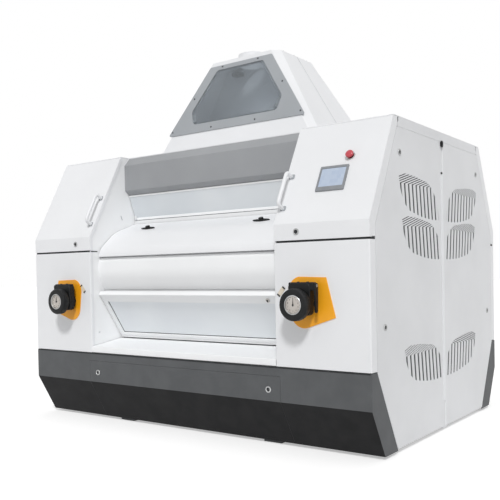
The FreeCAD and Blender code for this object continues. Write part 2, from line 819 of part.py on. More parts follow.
def make_doors():
    points = [(door_hinge_y, door_bottom), (door_edge_y(door_bottom), door_bottom),
              (front_y + door_inset, door_lower_bend),
              (front_y + door_inset, door_upper_bend),
              (door_edge_y(door_top), door_top), (door_hinge_y, door_top)]
    loop = points + points[:2]
    inset = offset_path(loop, -cover_sheet)[1:-1]
    door = profile(points, half_length - door_flange, half_length)
    hollow = profile(inset, half_length - door_flange, half_length - cover_sheet)
    door = rounded_edge(door, hinge_round).cut(rounded_edge(hollow, hinge_round - cover_sheet))
    for y, z in door_locks:
        door = door.cut(rod(Vector(half_length - 9, y, z), Vector(half_length + 1, y, z),
                            lock_radius))
    slots = leaf_slots()
    cutters = []
    for dy, dz in leaf_offsets:
        moved = [slot.translated(Vector(0, dy, dz)) for slot in slots]
        cutters += [slot for slot in moved if slot.BoundBox.YMax < door_axis_y - cover_sheet]
    door = door.cut(Part.makeCompound(cutters))
    pins = [rod(Vector(door_axis_x, door_axis_y, z0), Vector(door_axis_x, door_axis_y, z1),
                door_pin_radius)
            for z0, z1 in ((door_bottom - lug_sheet, door_bottom + cover_sheet),
                           (door_top - cover_sheet, door_top + seam + lug_sheet))]
    door = fused(door, *pins)
    for side, end in corners:
        write("%s_%s_door" % (side, end), at_corner(door, side, end))


def make_posts():
    post = box(half_length - 50, half_length - 4, -post_half, post_half, beam_size, deck_under)
    beam_end = base_length / 2 + seat
    shoe = box(beam_end, half_length - 4, -post_half, post_half, 0, beam_size)
    lugs = []
    for z0, z1 in ((0, door_bottom - seat), (door_top + seam, door_top + seam + lug_sheet)):
        lug = box(beam_end, half_length - cover_sheet - 0.1, -lug_reach, lug_reach, z0, z1)
        for y in (-door_axis_y, door_axis_y):
            lug = lug.cut(rod(Vector(door_axis_x, y, z0), Vector(door_axis_x, y, z1),
                              door_pin_radius + spindle_fit))
        lugs.append(lug)
    strip_low, strip_high = 129.0, 1198.0
    strip_plate = box(half_length - 4, half_length + 2, -9, 9, strip_low, strip_high)
    foot = box(half_length - 50 - 60, half_length - 50, -40, 40, beam_size, beam_size + 12)
    post = fused(post, shoe, strip_plate, foot, *lugs)
    write("side_posts", post, post.mirror(origin, axis_x))


# Deck and inlet hopper

def make_deck():
    edge = slant_top_y + 2 + cover_barrel_radius + 2 * seat
    middle_edge = -462.0
    points = [(-half_length, edge), (-cheek_inner, edge), (-cheek_inner, middle_edge),
              (cheek_inner, middle_edge), (cheek_inner, edge), (half_length, edge)]
    points += [(x, -y) for x, y in points[::-1]]
    face = outline(points, [0] * len(points), lambda p: Vector(p.x, p.y, deck_under))
    plate = face.extrude(Vector(0, 0, deck_sheet))
    plate = plate.cut(box(-hopper_base_x + 20, hopper_base_x - 20, -hopper_base_y + 20,
                          hopper_base_y - 20, deck_under, deck_height))
    low = door_top + seam
    flank = [(-479, deck_under + 1), (-479, 1380), (door_edge_y(low) + 1, low)]
    flank += [(-y, z) for y, z in flank[::-1]]
    flanks = [profile(flank, x, x + cover_sheet) for x in
              (-half_length, half_length - cover_sheet)]
    write("top_deck", fused(plate, *flanks))


hopper_rise = hopper_top_height - deck_height


def octagon(x, y, fold_size):
    f = fold_size
    return [(x, y - f), (x - f, y), (-x + f, y), (-x, y - f), (-x, -y + f), (-x + f, -y),
            (x - f, -y), (x, -y + f)]


face_slope = (hopper_base_y - hopper_top_y) / hopper_rise
face_size = math.hypot(1, face_slope)


def on_hopper(x, z, out=0.0):
    """Point on the sloping front of the hopper."""
    y = -hopper_base_y + (z - deck_height) * face_slope
    return Vector(x, y - out / face_size, z + out * face_slope / face_size)


bezel_top, bezel_low = hopper_top_height - 25, deck_height + 124
bezel_top_x, bezel_low_x = 204.0, 451.0
pane_top, pane_low = bezel_top - 24, bezel_low + 48
bezel_plate = 5.0
pane_height = pane_top - pane_low
window_cut = 0.26 * pane_height
window_foot = 0.29
window_round = 0.09 * pane_height
window_flanks = (2, 6)


def trapezium(grow, out0, out1, radius):
    """Window outline on the hopper front, with its lower corners cut off."""
    top, low = pane_top + grow, pane_low - grow
    lean = (bezel_low_x - bezel_top_x) / (bezel_top - bezel_low)
    side_x = bezel_top_x - 52 + grow
    reach = side_x + (top - low - window_cut) * lean
    foot = reach - window_foot * window_cut
    points = [(-side_x, top), (side_x, top), (reach, low + window_cut), (foot, low),
              (-foot, low), (-reach, low + window_cut)]

    def place(p):
        return on_hopper(p.x, p.y, out0)

    face = outline(points, [radius] * 6, place)
    return face.extrude(on_hopper(0, 0, out1) - on_hopper(0, 0, out0))


def make_hopper():
    wall = hopper_sheet
    drop = wall * 1.2
    low, high = [octagon(x, y, hopper_fold) for x, y in
                 ((hopper_base_x, hopper_base_y), (hopper_top_x, hopper_top_y))]
    low_in, high_in = [octagon(x - drop, y - drop, hopper_fold - 2) for x, y in
                       ((hopper_base_x, hopper_base_y), (hopper_top_x, hopper_top_y))]
    holes = []
    for side in sides:
        spout = rod(Vector(0, -spout_y, spout_bottom), Vector(0, -spout_y, spout_top),
                    spout_radius)
        opening = trapezium(-8, -30, 30, window_round - 2)
        holes += [at_side(opening, side), at_side(spout, side)]
    holes = Part.makeCompound(holes)
    panels = []
    for i in range(len(low)):
        panel = tapered([low[i - 1], low[i], low_in[i], low_in[i - 1]], deck_height,
                        [high[i - 1], high[i], high_in[i], high_in[i - 1]], hopper_top_height)
        panels.append(panel.cut(holes) if i in window_flanks else panel)
    inside = tapered(low_in, deck_height, high_in, hopper_top_height)
    roof = inside.common(box(-hopper_base_x, hopper_base_x, -hopper_base_y, hopper_base_y,
                             hopper_top_height - wall, hopper_top_height)).cut(holes)
    divider = tapered(rectangle(-hopper_base_x + drop, hopper_base_x - drop, -2, 2), deck_height,
                      rectangle(-hopper_top_x + drop, hopper_top_x - drop, -2, 2),
                      hopper_top_height)
    divider = divider.common(box(-hopper_base_x, hopper_base_x, -2, 2, deck_height,
                                 hopper_top_height - wall))
    write("hopper_shell", *panels, roof, divider)
    bezel_points = [(-bezel_top_x, bezel_top), (bezel_top_x, bezel_top), (bezel_low_x, bezel_low),
                    (-bezel_low_x, bezel_low)]
    bezel_face = outline(bezel_points, [8] * 4, lambda p: on_hopper(p.x, p.y, 0))
    bezel = bezel_face.extrude(on_hopper(0, 0, bezel_plate) - on_hopper(0, 0, 0))
    bezel = bezel.cut(trapezium(0, -10, 20, window_round))
    write("window_bezels", *[at_side(bezel, side) for side in sides])
    pane = trapezium(-seat, 0, bezel_plate - 1.5, window_round)
    write("hopper_panes", *[at_side(pane, side) for side in sides])
    spout = rod(Vector(0, -spout_y, spout_bottom), Vector(0, -spout_y, spout_top), spout_radius)
    spout = spout.cut(rod(Vector(0, -spout_y, spout_bottom), Vector(0, -spout_y, spout_top),
                          spout_radius - spout_wall))
    write("inlet_spouts", *[at_side(spout, side) for side in sides])


# Handwheels with their dial plates, clamps and lock levers

sleeve_radius = 22.0
dial_plate = 4.0
clamp_half = 50.0
clamp_low = 575.0
clamp_top = 704.0
clamp_round = 20.0
clamp_front = 818.0
clamp_depth = 33.0
clamp_neck = 40.0
lug_end = wheel_x + 68.0
lever_y = -804.0
lever_z = 697.0
lever_pin = 5.0
lever_length = 110.0
lug_low = 677.0
lug_top = 718.0


def make_dial_plates():
    y = front_y
    corner = Vector(704, y, 734)
    points = {"top_out": Vector(834, y, 730), "low_out": Vector(876, y, 566),
              "low_in": Vector(745, y, 522)}
    edges = [Part.LineSegment(corner, points["top_out"]),
             Part.LineSegment(points["top_out"], points["low_out"]),
             Part.LineSegment(points["low_out"], points["low_in"]),
             Part.Arc(points["low_in"], Vector(690, y, 532), Vector(664, y, 580)),
             Part.LineSegment(Vector(664, y, 580), Vector(652, y, 672)),
             Part.Arc(Vector(652, y, 672), Vector(668, y, 714), corner)]
    face = Part.Face(Part.Wire([edge.toShape() for edge in edges]))
    plate = face.extrude(Vector(0, -dial_plate, 0))
    plate = plate.cut(rod(Vector(wheel_x, y - 10, wheel_z), Vector(wheel_x, y + 1, wheel_z),
                          sleeve_radius + seat))
    write("dial_plates", *[at_corner(plate, side, end) for side, end in corners])


def make_clamps():
    back = front_y - dial_plate
    clamp_back = -clamp_front + clamp_depth
    block = [(wheel_x - clamp_half, clamp_low), (wheel_x + clamp_half, clamp_low),
             (wheel_x + clamp_half, clamp_top), (wheel_x - clamp_half, clamp_top)]
    block = outline(block, [clamp_round] * 4, lambda p: Vector(p.x, -clamp_front, p.y))
    block = block.extrude(Vector(0, clamp_depth, 0))
    neck = rod(Vector(wheel_x, clamp_back, wheel_z), Vector(wheel_x, back, wheel_z), clamp_neck)
    sleeve = rod(Vector(wheel_x, back, wheel_z), Vector(wheel_x, front_y + 60, wheel_z),
                 sleeve_radius)
    lug = box(wheel_x - 45, lug_end, -clamp_front, -clamp_front + 28, lug_low, lug_top)
    clamp = fused(block, neck, sleeve, lug)
    bore = rod(Vector(wheel_x, -clamp_front - 1, wheel_z), Vector(wheel_x, front_y + 61, wheel_z),
               spindle_radius + spindle_fit)
    pin_hole = rod(Vector(lug_end - 30, lever_y, lever_z), Vector(lug_end + 1, lever_y, lever_z),
                   lever_pin + spindle_fit)
    split = box(wheel_x - 1.5, wheel_x + 1.5, -clamp_front, clamp_back, wheel_z + 20, lug_top)
    clamp = clamp.cut(bore).cut(pin_hole).cut(split)
    write("clamp_blocks", *[at_corner(clamp, side, end) for side, end in corners])


def make_levers():
    x0 = lug_end + seat
    eye = rod(Vector(x0, lever_y, lever_z), Vector(x0 + 10, lever_y, lever_z), 11)
    tongue = profile([(lever_y - 9, lever_z), (lever_y - 6, lever_z - lever_length),
                      (lever_y + 6, lever_z - lever_length), (lever_y + 9, lever_z)],
                     x0, x0 + 10, [0, 5, 5, 0])
    pin = rod(Vector(x0 - 25, lever_y, lever_z), Vector(x0, lever_y, lever_z), lever_pin)
    lever = fused(eye, tongue, pin)
    for side, end in corners:
        write("%s_%s_lock_lever" % (side, end), at_corner(lever, side, end))


def make_wheels():
    front, back = -wheel_front, -wheel_front + wheel_depth
    disc = rod(Vector(wheel_x, front, wheel_z), Vector(wheel_x, back, wheel_z), wheel_radius)
    rims = [edge for edge in disc.Edges if isinstance(edge.Curve, Part.Circle)]
    disc = disc.makeChamfer(wheel_chamfer, rims)
    dial = rod(Vector(wheel_x, front - 1, wheel_z), Vector(wheel_x, front + dial_recess, wheel_z),
               dial_radius)
    hub = rod(Vector(wheel_x, back, wheel_z), Vector(wheel_x, -clamp_front - seat, wheel_z), 22)
    spindle = rod(Vector(wheel_x, back, wheel_z), Vector(wheel_x, front_y + 90, wheel_z),
                  spindle_radius)
    wheel = fused(disc.cut(dial), hub, spindle)
    for side, end in corners:
        write("%s_%s_handwheel" % (side, end), at_corner(wheel, side, end))


# Grinding rolls, feed rolls and their carriers

bearing_radius = 95.0
bearing_width = 80.0
drive_x = 790.0
gear_x = 790.0
gear_width = 60.0
ratio = 2.5
pulley_radius = 150.0
pulley_width = 75.0
groove_count = 3
groove_depth = 14.0


def pulley(y, z):
    """Grooved pulley for the main V-belts."""
    pitch = pulley_width / groove_count
    points = [(drive_x, journal_radius - 1), (drive_x, pulley_radius)]
    for k in range(groove_count):
        x = drive_x + k * pitch
        points += [(x + 0.15 * pitch, pulley_radius),
                   (x + 0.38 * pitch, pulley_radius - groove_depth),
                   (x + 0.62 * pitch, pulley_radius - groove_depth),
                   (x + 0.85 * pitch, pulley_radius)]
    points += [(drive_x + pulley_width, pulley_radius), (drive_x + pulley_width,
                                                         journal_radius - 1)]
    loop = [Vector(a, y, z + r) for a, r in points]
    face = Part.Face(Part.makePolygon(loop + loop[:1]))
    return face.revolve(Vector(0, y, z), axis_x, 360)


def roll_blank(y, z, right_end, left_end):
    body = rod(Vector(-roll_length / 2, y, z), Vector(roll_length / 2, y, z), roll_radius)
    shaft = rod(Vector(left_end, y, z), Vector(right_end, y, z), journal_radius)
    return body.fuse(shaft)


def gear(y, z, radius):
    return rod(Vector(-gear_x - gear_width, y, z), Vector(-gear_x, y, z), radius)


def make_rolls():
    centre_distance = 2 * roll_radius + roll_gap
    pinion_radius = centre_distance / (1 + ratio)
    wheel_pitch_radius = centre_distance - pinion_radius
    shaft_left = -gear_x - gear_width - 10
    fast = fused(roll_blank(-fast_roll_y, fast_roll_z, drive_x + pulley_width + 8, shaft_left),
                 pulley(-fast_roll_y, fast_roll_z), gear(-fast_roll_y, fast_roll_z,
                                                         pinion_radius - seat))
    slow_reach = frame_outer + 2 * seat + arm_plate + 12
    slow = fused(roll_blank(slow_roll_y, slow_roll_z, slow_reach, shaft_left),
                 gear(slow_roll_y, slow_roll_z, wheel_pitch_radius - seat))
    for side in sides:
        write(side + "_fast_roll", at_side(fast, side))
        write(side + "_slow_roll", at_side(slow, side))


def make_bearings():
    x0 = frame_outer
    block = rod(Vector(x0, -fast_roll_y, fast_roll_z),
                Vector(x0 + bearing_width, -fast_roll_y, fast_roll_z), bearing_radius)
    block = block.cut(rod(Vector(x0, -fast_roll_y, fast_roll_z),
                          Vector(x0 + bearing_width, -fast_roll_y, fast_roll_z),
                          journal_radius + journal_fit))
    write("roll_bearings", *[at_corner(block, side, end) for side, end in corners])


def make_arms():
    x0 = frame_outer + seat
    x1 = x0 + arm_plate
    u, v = -arm_dir[0], -arm_dir[1]
    tip = (slow_roll_y + u * 170, slow_roll_z + v * 170)
    parts = []
    for y, z, radius in ((pivot_y, pivot_z, 55), (slow_roll_y, slow_roll_z, 92),
                         (tip[0], tip[1], 28)):
        parts.append(rod(Vector(x0, y, z), Vector(x1, y, z), radius))
    across = (-v, u)
    bar = [(pivot_y + across[0] * 50, pivot_z + across[1] * 50),
           (tip[0] + across[0] * 26, tip[1] + across[1] * 26),
           (tip[0] - across[0] * 26, tip[1] - across[1] * 26),
           (pivot_y - across[0] * 50, pivot_z - across[1] * 50)]
    parts.append(profile(bar, x0, x1))
    arm = fused(*parts)
    for y, z, radius in ((pivot_y, pivot_z, pivot_radius), (slow_roll_y, slow_roll_z,
                                                            journal_radius)):
        arm = arm.cut(rod(Vector(x0 - 1, y, z), Vector(x1 + 1, y, z), radius + journal_fit))
    for side in sides:
        write(side + "_roll_arms", *[at_corner(arm, side, end) for end in ends])


cylinder_radius = 26.0


def make_cylinders():
    x = frame_outer + cylinder_radius + 2
    u, v = -arm_dir[0], -arm_dir[1]
    tip = Vector(x, slow_roll_y + u * 170, slow_roll_z + v * 170)
    push = Vector(0, math.cos(math.radians(nip_angle)), math.sin(math.radians(nip_angle)))
    face = tip + push * (28 + 0.5)
    rod_part = rod(face, face + push * 60, 9)
    body = rod(face + push * 60, face + push * 190, cylinder_radius)
    bracket_y, bracket_z = (face + push * 150).y, (face + push * 150).z
    bracket = box(frame_outer, x, bracket_y - 20, bracket_y + 20, bracket_z - 25, bracket_z + 25)
    cylinder = fused(rod_part, body, bracket)
    write("engaging_cylinders", *[at_corner(cylinder, side, end) for side, end in corners])


def make_feed_rolls():
    y, z = -feed_roll_y, feed_roll_z
    body = rod(Vector(-frame_inner + 6, y, z), Vector(frame_inner - 6, y, z), feed_roll_radius)
    shaft = rod(Vector(-frame_outer - 30, y, z), Vector(frame_outer + 30, y, z),
                feed_journal_radius)
    roll = fused(body, shaft)
    for side in sides:
        write(side + "_feed_roll", at_side(roll, side))


os.makedirs("parts", exist_ok=True)
make_base()
make_discharge()
make_skirts()
for end_name in ends:
    make_side_frame(end_name)
make_centre_wall()
make_cheeks()
make_sills()
make_middle_covers()
make_feed_covers()
make_flaps()
make_guards()
make_knobs()
make_windows()
make_lower_panels()
make_covers()
make_controls()
make_doors()
make_posts()
make_deck()
make_hopper()
make_dial_plates()
make_clamps()
make_levers()
make_wheels()
make_rolls()
make_bearings()
make_arms()
make_cylinders()
make_feed_rolls()
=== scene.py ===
import json
import math
import bmesh
import bpy
from mathutils import Matrix, Vector


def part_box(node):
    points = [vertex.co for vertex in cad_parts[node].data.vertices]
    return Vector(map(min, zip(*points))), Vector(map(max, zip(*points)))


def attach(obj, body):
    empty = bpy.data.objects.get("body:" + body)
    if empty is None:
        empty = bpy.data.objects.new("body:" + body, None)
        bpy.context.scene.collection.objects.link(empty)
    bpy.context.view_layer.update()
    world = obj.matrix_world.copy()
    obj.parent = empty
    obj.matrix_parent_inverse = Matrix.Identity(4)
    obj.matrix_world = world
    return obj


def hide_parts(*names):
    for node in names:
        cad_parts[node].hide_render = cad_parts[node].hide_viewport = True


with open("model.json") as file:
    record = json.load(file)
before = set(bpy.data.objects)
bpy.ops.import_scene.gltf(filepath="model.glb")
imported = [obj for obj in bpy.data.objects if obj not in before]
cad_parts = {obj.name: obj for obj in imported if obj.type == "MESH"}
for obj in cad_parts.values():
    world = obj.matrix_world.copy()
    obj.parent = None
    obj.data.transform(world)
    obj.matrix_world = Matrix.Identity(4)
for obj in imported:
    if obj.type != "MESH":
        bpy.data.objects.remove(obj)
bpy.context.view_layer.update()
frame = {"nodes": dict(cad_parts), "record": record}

bodyOfNode = {}
for bodyName, members in frame["record"]["behaviour"]["bodies"].items():
    for member in members:
        bodyOfNode[member] = bodyName

# Places shared by the pieces, in metres. Front is -Y, Z is measured from the floor.
mill = {
    "front": 0.763,       # distance of the front face from the middle
    "halfLength": 1.030,
    "openingHalf": 0.580,
    "panelTop": 0.891,
    "foldZ": 0.970,       # where the sloping lid starts
    "slantTop": 0.531,
    "slantTopZ": 1.409,
}
sides = ("front", "rear")
ends = ("right", "left")
corners = [(side, end) for side in sides for end in ends]
print("frame loaded,", len(frame["nodes"]), "sub-parts")


# Colour and node helpers

def hexColour(code):
    channels = [int(code[i:i + 2], 16) / 255 for i in (1, 3, 5)]
    linear = [c / 12.92 if c <= 0.04045 else ((c + 0.055) / 1.055) ** 2.4 for c in channels]
    return (*linear, 1.0)


def addNode(tree, kind, values=None, links=None, **settings):
    node = tree.nodes.new(kind)
    for key, value in settings.items():
        setattr(node, key, value)
    for key, value in (values or {}).items():
        node.inputs[key].default_value = value
    for key, socket in (links or {}).items():
        tree.links.new(socket, node.inputs[key])
    return node


def newFinish(name):
    material = bpy.data.materials.new(name)
    material.use_nodes = True
    material.node_tree.nodes.clear()
    return material, material.node_tree


def closeFinish(tree, values, links):
    shader = addNode(tree, "ShaderNodeBsdfPrincipled", values, links)
    addNode(tree, "ShaderNodeOutputMaterial", links={"Surface": shader.outputs[0]})
    return shader


# noise whose features are sizeMm across on the real object
def objectNoise(tree, sizeMm, detail=2.0, stretch=(1, 1, 1)):
    place = addNode(tree, "ShaderNodeTexCoord")
    mapping = addNode(tree, "ShaderNodeMapping", {"Scale": stretch},
                      {"Vector": place.outputs["Object"]})
    return addNode(tree, "ShaderNodeTexNoise", {"Scale": 1000 / sizeMm, "Detail": detail},
                   {"Vector": mapping.outputs[0]})


def colourBlend(tree, noise, low, high, start=0.35, stop=0.65):
    ramp = addNode(tree, "ShaderNodeValToRGB", links={"Fac": noise.outputs["Fac"]})
    ramp.color_ramp.elements[0].position = start
    ramp.color_ramp.elements[0].color = hexColour(low)
    ramp.color_ramp.elements[1].position = stop
    ramp.color_ramp.elements[1].color = hexColour(high)
    return ramp.outputs["Color"]


def bumpOf(tree, height, strength, depthMm):
    bump = addNode(tree, "ShaderNodeBump", {"Strength": strength, "Distance": depthMm / 1000},
                   {"Height": height})
    return bump.outputs["Normal"]


# Finishes

# colour that drifts a little from place to place, under a fine relief. Sizes are in mm
def surfaceFinish(name, colours, drift, relief, bump, values):
    material, tree = newFinish(name)
    tone = objectNoise(tree, *drift)
    grain = objectNoise(tree, *relief)
    closeFinish(tree, values, {"Base Color": colourBlend(tree, tone, *colours),
                               "Normal": bumpOf(tree, grain.outputs["Fac"], *bump)})
    return material


# polyester powder coat on folded steel: the eye gets an even, soft shine and a faint orange peel
def powderCoat(name, low, high, roughness=0.42):
    peel = (6.0, 1)      # real peel is about 1.5 mm, drawn coarser to show
    return surfaceFinish(name, (low, high), (320, 3), peel, (0.25, 0.05),
                         {"Roughness": roughness, "IOR": 1.5})


# fine-structure powder coat: the eye gets a matt, sandy face that hardly mirrors
def texturedCoat(name, low, high, shine=0.5):
    grain = (3.5, 2)     # real grain is about 0.5 mm, drawn coarser to show
    return surfaceFinish(name, (low, high), (90, 4), grain, (0.35, 0.12),
                         {"Roughness": 0.62, "IOR": 1.5, "Specular IOR Level": shine})


# machinery enamel on rough iron castings: the eye gets a dull grey with soft pits
def castPaint(name, low, high):
    return surfaceFinish(name, (low, high), (60, 5), (9, 4), (0.5, 0.5), {"Roughness": 0.5})


# bare or plated metal: the eye gets a sheen, and the stretch draws it into turned or brushed lines
def metalFinish(name, low, high, roughness, grainMm=2.0, stretch=(1, 1, 1)):
    return surfaceFinish(name, (low, high), (40, 3), (grainMm, 2, stretch), (0.3, 0.03),
                         {"Roughness": roughness, "Metallic": 1.0})


# injection moulding: the eye gets a fine eroded grain that breaks up the highlight
def mouldedPlastic(name, low, high, roughness=0.45, grainMm=1.6, shine=0.5):
    return surfaceFinish(name, (low, high), (25, 2), (grainMm, 2), (0.3, 0.06),
                         {"Roughness": roughness, "IOR": 1.49, "Specular IOR Level": shine})


# cast sheet pane: the eye gets a smooth, tinted or milky face with faint wipe marks
def clearPane(name, low, high, roughness, transmission):
    return surfaceFinish(name, (low, high), (260, 2), (30, 2, (0.15, 1, 1)), (0.05, 0.02),
                         {"Roughness": roughness, "IOR": 1.49, "Transmission Weight": transmission})


# fluted chilled iron: the eye gets bright lines along the roll, drawn round its own axis
def flutedIron(name, low, high, count, centre, depthMm):
    material, tree = newFinish(name)
    place = addNode(tree, "ShaderNodeTexCoord")
    shifted = addNode(tree, "ShaderNodeMapping", {"Location": (0, -centre[0], -centre[1])},
                      {"Vector": place.outputs["Object"]})
    parts = addNode(tree, "ShaderNodeSeparateXYZ", links={"Vector": shifted.outputs[0]})
    angle = addNode(tree, "ShaderNodeMath", links={0: parts.outputs["Z"], 1: parts.outputs["Y"]},
                    operation="ARCTAN2")
    turns = addNode(tree, "ShaderNodeMath", {1: float(count)}, {0: angle.outputs[0]},
                    operation="MULTIPLY")
    flutes = addNode(tree, "ShaderNodeMath", links={0: turns.outputs[0]}, operation="SINE")
    tone = objectNoise(tree, 50, 3)
    closeFinish(tree, {"Roughness": 0.34, "Metallic": 1.0},
                {"Base Color": colourBlend(tree, tone, low, high),
                 "Normal": bumpOf(tree, flutes.outputs[0], 0.6, depthMm)})
    return material


# lit touch screen: the eye gets a pale blue page with soft blocks, behind smooth glass
def screenGlass(name):
    material, tree = newFinish(name)
    place = addNode(tree, "ShaderNodeTexCoord")
    blocks = addNode(tree, "ShaderNodeTexBrick",
                     {"Scale": 26.0, "Color1": hexColour("#A8B6CB"), "Color2": hexColour("#B4C0D1"),
                      "Mortar": hexColour("#AFBBCE"), "Mortar Size": 0.02},
                     {"Vector": place.outputs["Object"]})
    closeFinish(tree, {"Roughness": 0.12, "Emission Strength": 0.1},
                {"Base Color": blocks.outputs["Color"], "Emission Color": blocks.outputs["Color"]})
    return material


finish = {
    # painted sheet: softly shining. One white coat in three tones: the lighter copy is painted light
    # and the darker copy painted shade, given panel by panel
    "white": powderCoat("powderCoatWhite", "#EBECEE", "#EEEFF1"),
    "bright": powderCoat("powderCoatWhitePaintedLight", "#F4F5F6", "#F7F8F9"),
    "pale": powderCoat("powderCoatWhitePaintedShade", "#E0E1E3", "#E6E7E9"),
    "grey": powderCoat("powderCoatMidGrey", "#97999C", "#9D9FA2", 0.45),
    "bezel": powderCoat("powderCoatBlueGrey", "#A0A4A8", "#A6AAAE", 0.4),
    "orange": powderCoat("powderCoatOrange", "#F7A614", "#FCB020", 0.38),
    # the base: dark and matt. Where it faces down it takes a darker copy of the coat, painted shade
    "charcoal": texturedCoat("structuredCoatCharcoal", "#4E5052", "#555759"),
    "charcoalPaintedShade": texturedCoat("structuredCoatCharcoalPaintedShade", "#242425", "#2B2B2C", 0.12),
    # castings inside: dull grey, uneven in the light
    "casting": castPaint("machineryEnamelGrey", "#7C7F82", "#8A8D90"),
    # zinc has a wide, cloudy sheen and nickel a cleaner one
    "zinc": metalFinish("zincPlatedSteel", "#B4B8BB", "#C6CACD", 0.38, 12),
    "nickel": metalFinish("nickelPlatedZinc", "#A9AAAA", "#C4C5C5", 0.28),
    # brushed lines along the aluminium, rings round the turned steel
    "silver": metalFinish("satinAnodisedAluminium", "#C6C3BE", "#D2CFCA", 0.42, 1.5, (0.1, 1, 1)),
    "steel": metalFinish("turnedSteel", "#9A9DA0", "#AEB1B4", 0.3, 2.5, (6, 1, 1)),
    # black moulding with a soft edge of light
    "nylon": mouldedPlastic("glassFilledNylonBlack", "#151617", "#1C1D1E", 0.5, shine=0.25),
    # dial face: pale and silky
    "dial": metalFinish("satinDialAluminium", "#B4AEA8", "#C0BBB5", 0.48, 1.2, (0.2, 1, 1)),
    # stop button: smooth red with a clear highlight
    "red": mouldedPlastic("polycarbonateRed", "#BC424D", "#C84E59", 0.3, 4),
    # screen: a warm grey, dull frame round a lit glass
    "screenFrame": mouldedPlastic("absWarmGrey", "#85888C", "#8C8F93", 0.4),
    "screen": screenGlass("touchScreenGlass"),
    # smoke-grey clear panes in the hopper, milky ones in the flap and window
    "tinted": clearPane("smokedPolycarbonate", "#99A1A8", "#A2AAB0", 0.05, 0.75),
    "frosted": clearPane("frostedPolycarbonate", "#EEF2F6", "#F3F7FA", 0.3, 0.05),
    "feedPane": clearPane("frostedAcrylic", "#E1E6EA", "#E8ECEF", 0.3, 0.05),
    # soft parts: dull black rubber, and felt without any shine
    "rubber": mouldedPlastic("epdmRubber", "#1C1D1E", "#26272A", 0.75, 3),
    "felt": mouldedPlastic("acousticFeltGrey", "#383B3E", "#404346", 0.9, 5, 0.2),
    # oxidised fittings: dark with a dull gleam
    "blackened": metalFinish("blackOxideSteel", "#4A4B4D", "#5A5B5D", 0.42, 4),
    # small tags: cream, slightly shiny
    "enamel": mouldedPlastic("creamEnamelLabel", "#DDD2BF", "#E6DCCB", 0.4, 5),
}
grindingRolls = {
    "nodes": [f"{side}_{kind}_roll" for side in sides for kind in ("fast", "slow")],
    "flutes": 220,        # a real roll has about 400, drawn coarser to show
    "fluteDepthMm": 0.5,
    "faceHalf": 0.620,    # the fluted face ends short of the journals
}
for node in grindingRolls["nodes"]:
    low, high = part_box(node)
    axis = (low + high) / 2
    finish[node] = flutedIron("flutedChilledIron_" + node, "#85888B", "#97999C",
                              grindingRolls["flutes"], (axis.y, axis.z),
                              grindingRolls["fluteDepthMm"])
print(len(finish), "finishes made")


# Mesh helpers

def newObject(name, data):
    made = bpy.data.objects.new(name, data)
    bpy.context.scene.collection.objects.link(made)
    return made


def evaluatedMesh(piece):
    evaluated = piece.evaluated_get(bpy.context.evaluated_depsgraph_get())
    return bpy.data.meshes.new_from_object(evaluated)


def smoothByAngle(mesh, degrees=32):
    mesh.shade_smooth()
    mesh.set_sharp_from_angle(angle=math.radians(degrees))


def meshFromBm(name, bm, degrees=32):
    mesh = bpy.data.meshes.new(name)
    bm.to_mesh(mesh)
    bm.free()
    smoothByAngle(mesh, degrees)
    return mesh


# puts a finished mesh in the scene as a piece of one body
def addPiece(name, mesh, material, body, stands=()):
    for one in (material if isinstance(material, (list, tuple)) else [material]):
        mesh.materials.append(finish[one])
    piece = newObject(name, mesh)
    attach(piece, body)
    if stands:
        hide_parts(*stands)
    return piece


# turns the modified shape into a plain mesh and takes the modifiers off
def bakeModifiers(piece):
    mesh = evaluatedMesh(piece)
    piece.modifiers.clear()
    old = piece.data
    piece.data = mesh
    bpy.data.meshes.remove(old)


def cornerMatrix(side, end):
    return Matrix.Diagonal((1 if end == "right" else -1, 1 if side == "front" else -1, 1, 1))


# skin over loops of equal length
def lofted(loops, closeEnds=True):
    bm = bmesh.new()
    rings = [[bm.verts.new(p) for p in loop] for loop in loops]
    count = len(loops[0])
    for lower, upper in zip(rings, rings[1:]):
        for i in range(count):
            j = (i + 1) % count
            bm.faces.new((lower[i], lower[j], upper[j], upper[i]))
    if closeEnds:
        bm.faces.new(rings[0][::-1])
        bm.faces.new(rings[-1])
    bmesh.ops.recalc_face_normals(bm, faces=bm.faces)
    return bm


# shape turned round Z from (radius, height) points. A third value of 1 marks fluted rings
def turned(profile, segments=64, flutes=0, fluteDepth=0.0):
    loops = []
    for point in profile:
        radius, height = point[0], point[1]
        ring = []
        for k in range(segments):
            angle = 2 * math.pi * k / segments
            r = radius
            if len(point) > 2:
                r -= fluteDepth * (0.5 - 0.5 * math.cos(flutes * angle)) ** 3
            ring.append(Vector((r * math.cos(angle), r * math.sin(angle), height)))
        loops.append(ring)
    return lofted(loops)


def roundedLoop(width, height, radius, z, steps=5, centre=(0, 0)):
    points = []
    for cx, cy, start in ((1, 1, 0), (-1, 1, 90), (-1, -1, 180), (1, -1, 270)):
        for k in range(steps + 1):
            angle = math.radians(start + 90 * k / steps)
            points.append(Vector((centre[0] + cx * (width / 2 - radius) + radius * math.cos(angle),
                                  centre[1] + cy * (height / 2 - radius) + radius * math.sin(angle),
                                  z)))
    return points


# block with rounded corners and softened edges, standing on z0
def roundedBlock(width, height, depth, radius, edge=0.0008, z0=0.0, centre=(0, 0)):
    loops = []
    for inset, z in ((edge, 0), (0, edge), (0, depth - edge), (edge, depth)):
        loops.append(roundedLoop(width - 2 * inset, height - 2 * inset, max(radius - inset, 1e-4),
                                 z0 + z, centre=centre))
    return lofted(loops)


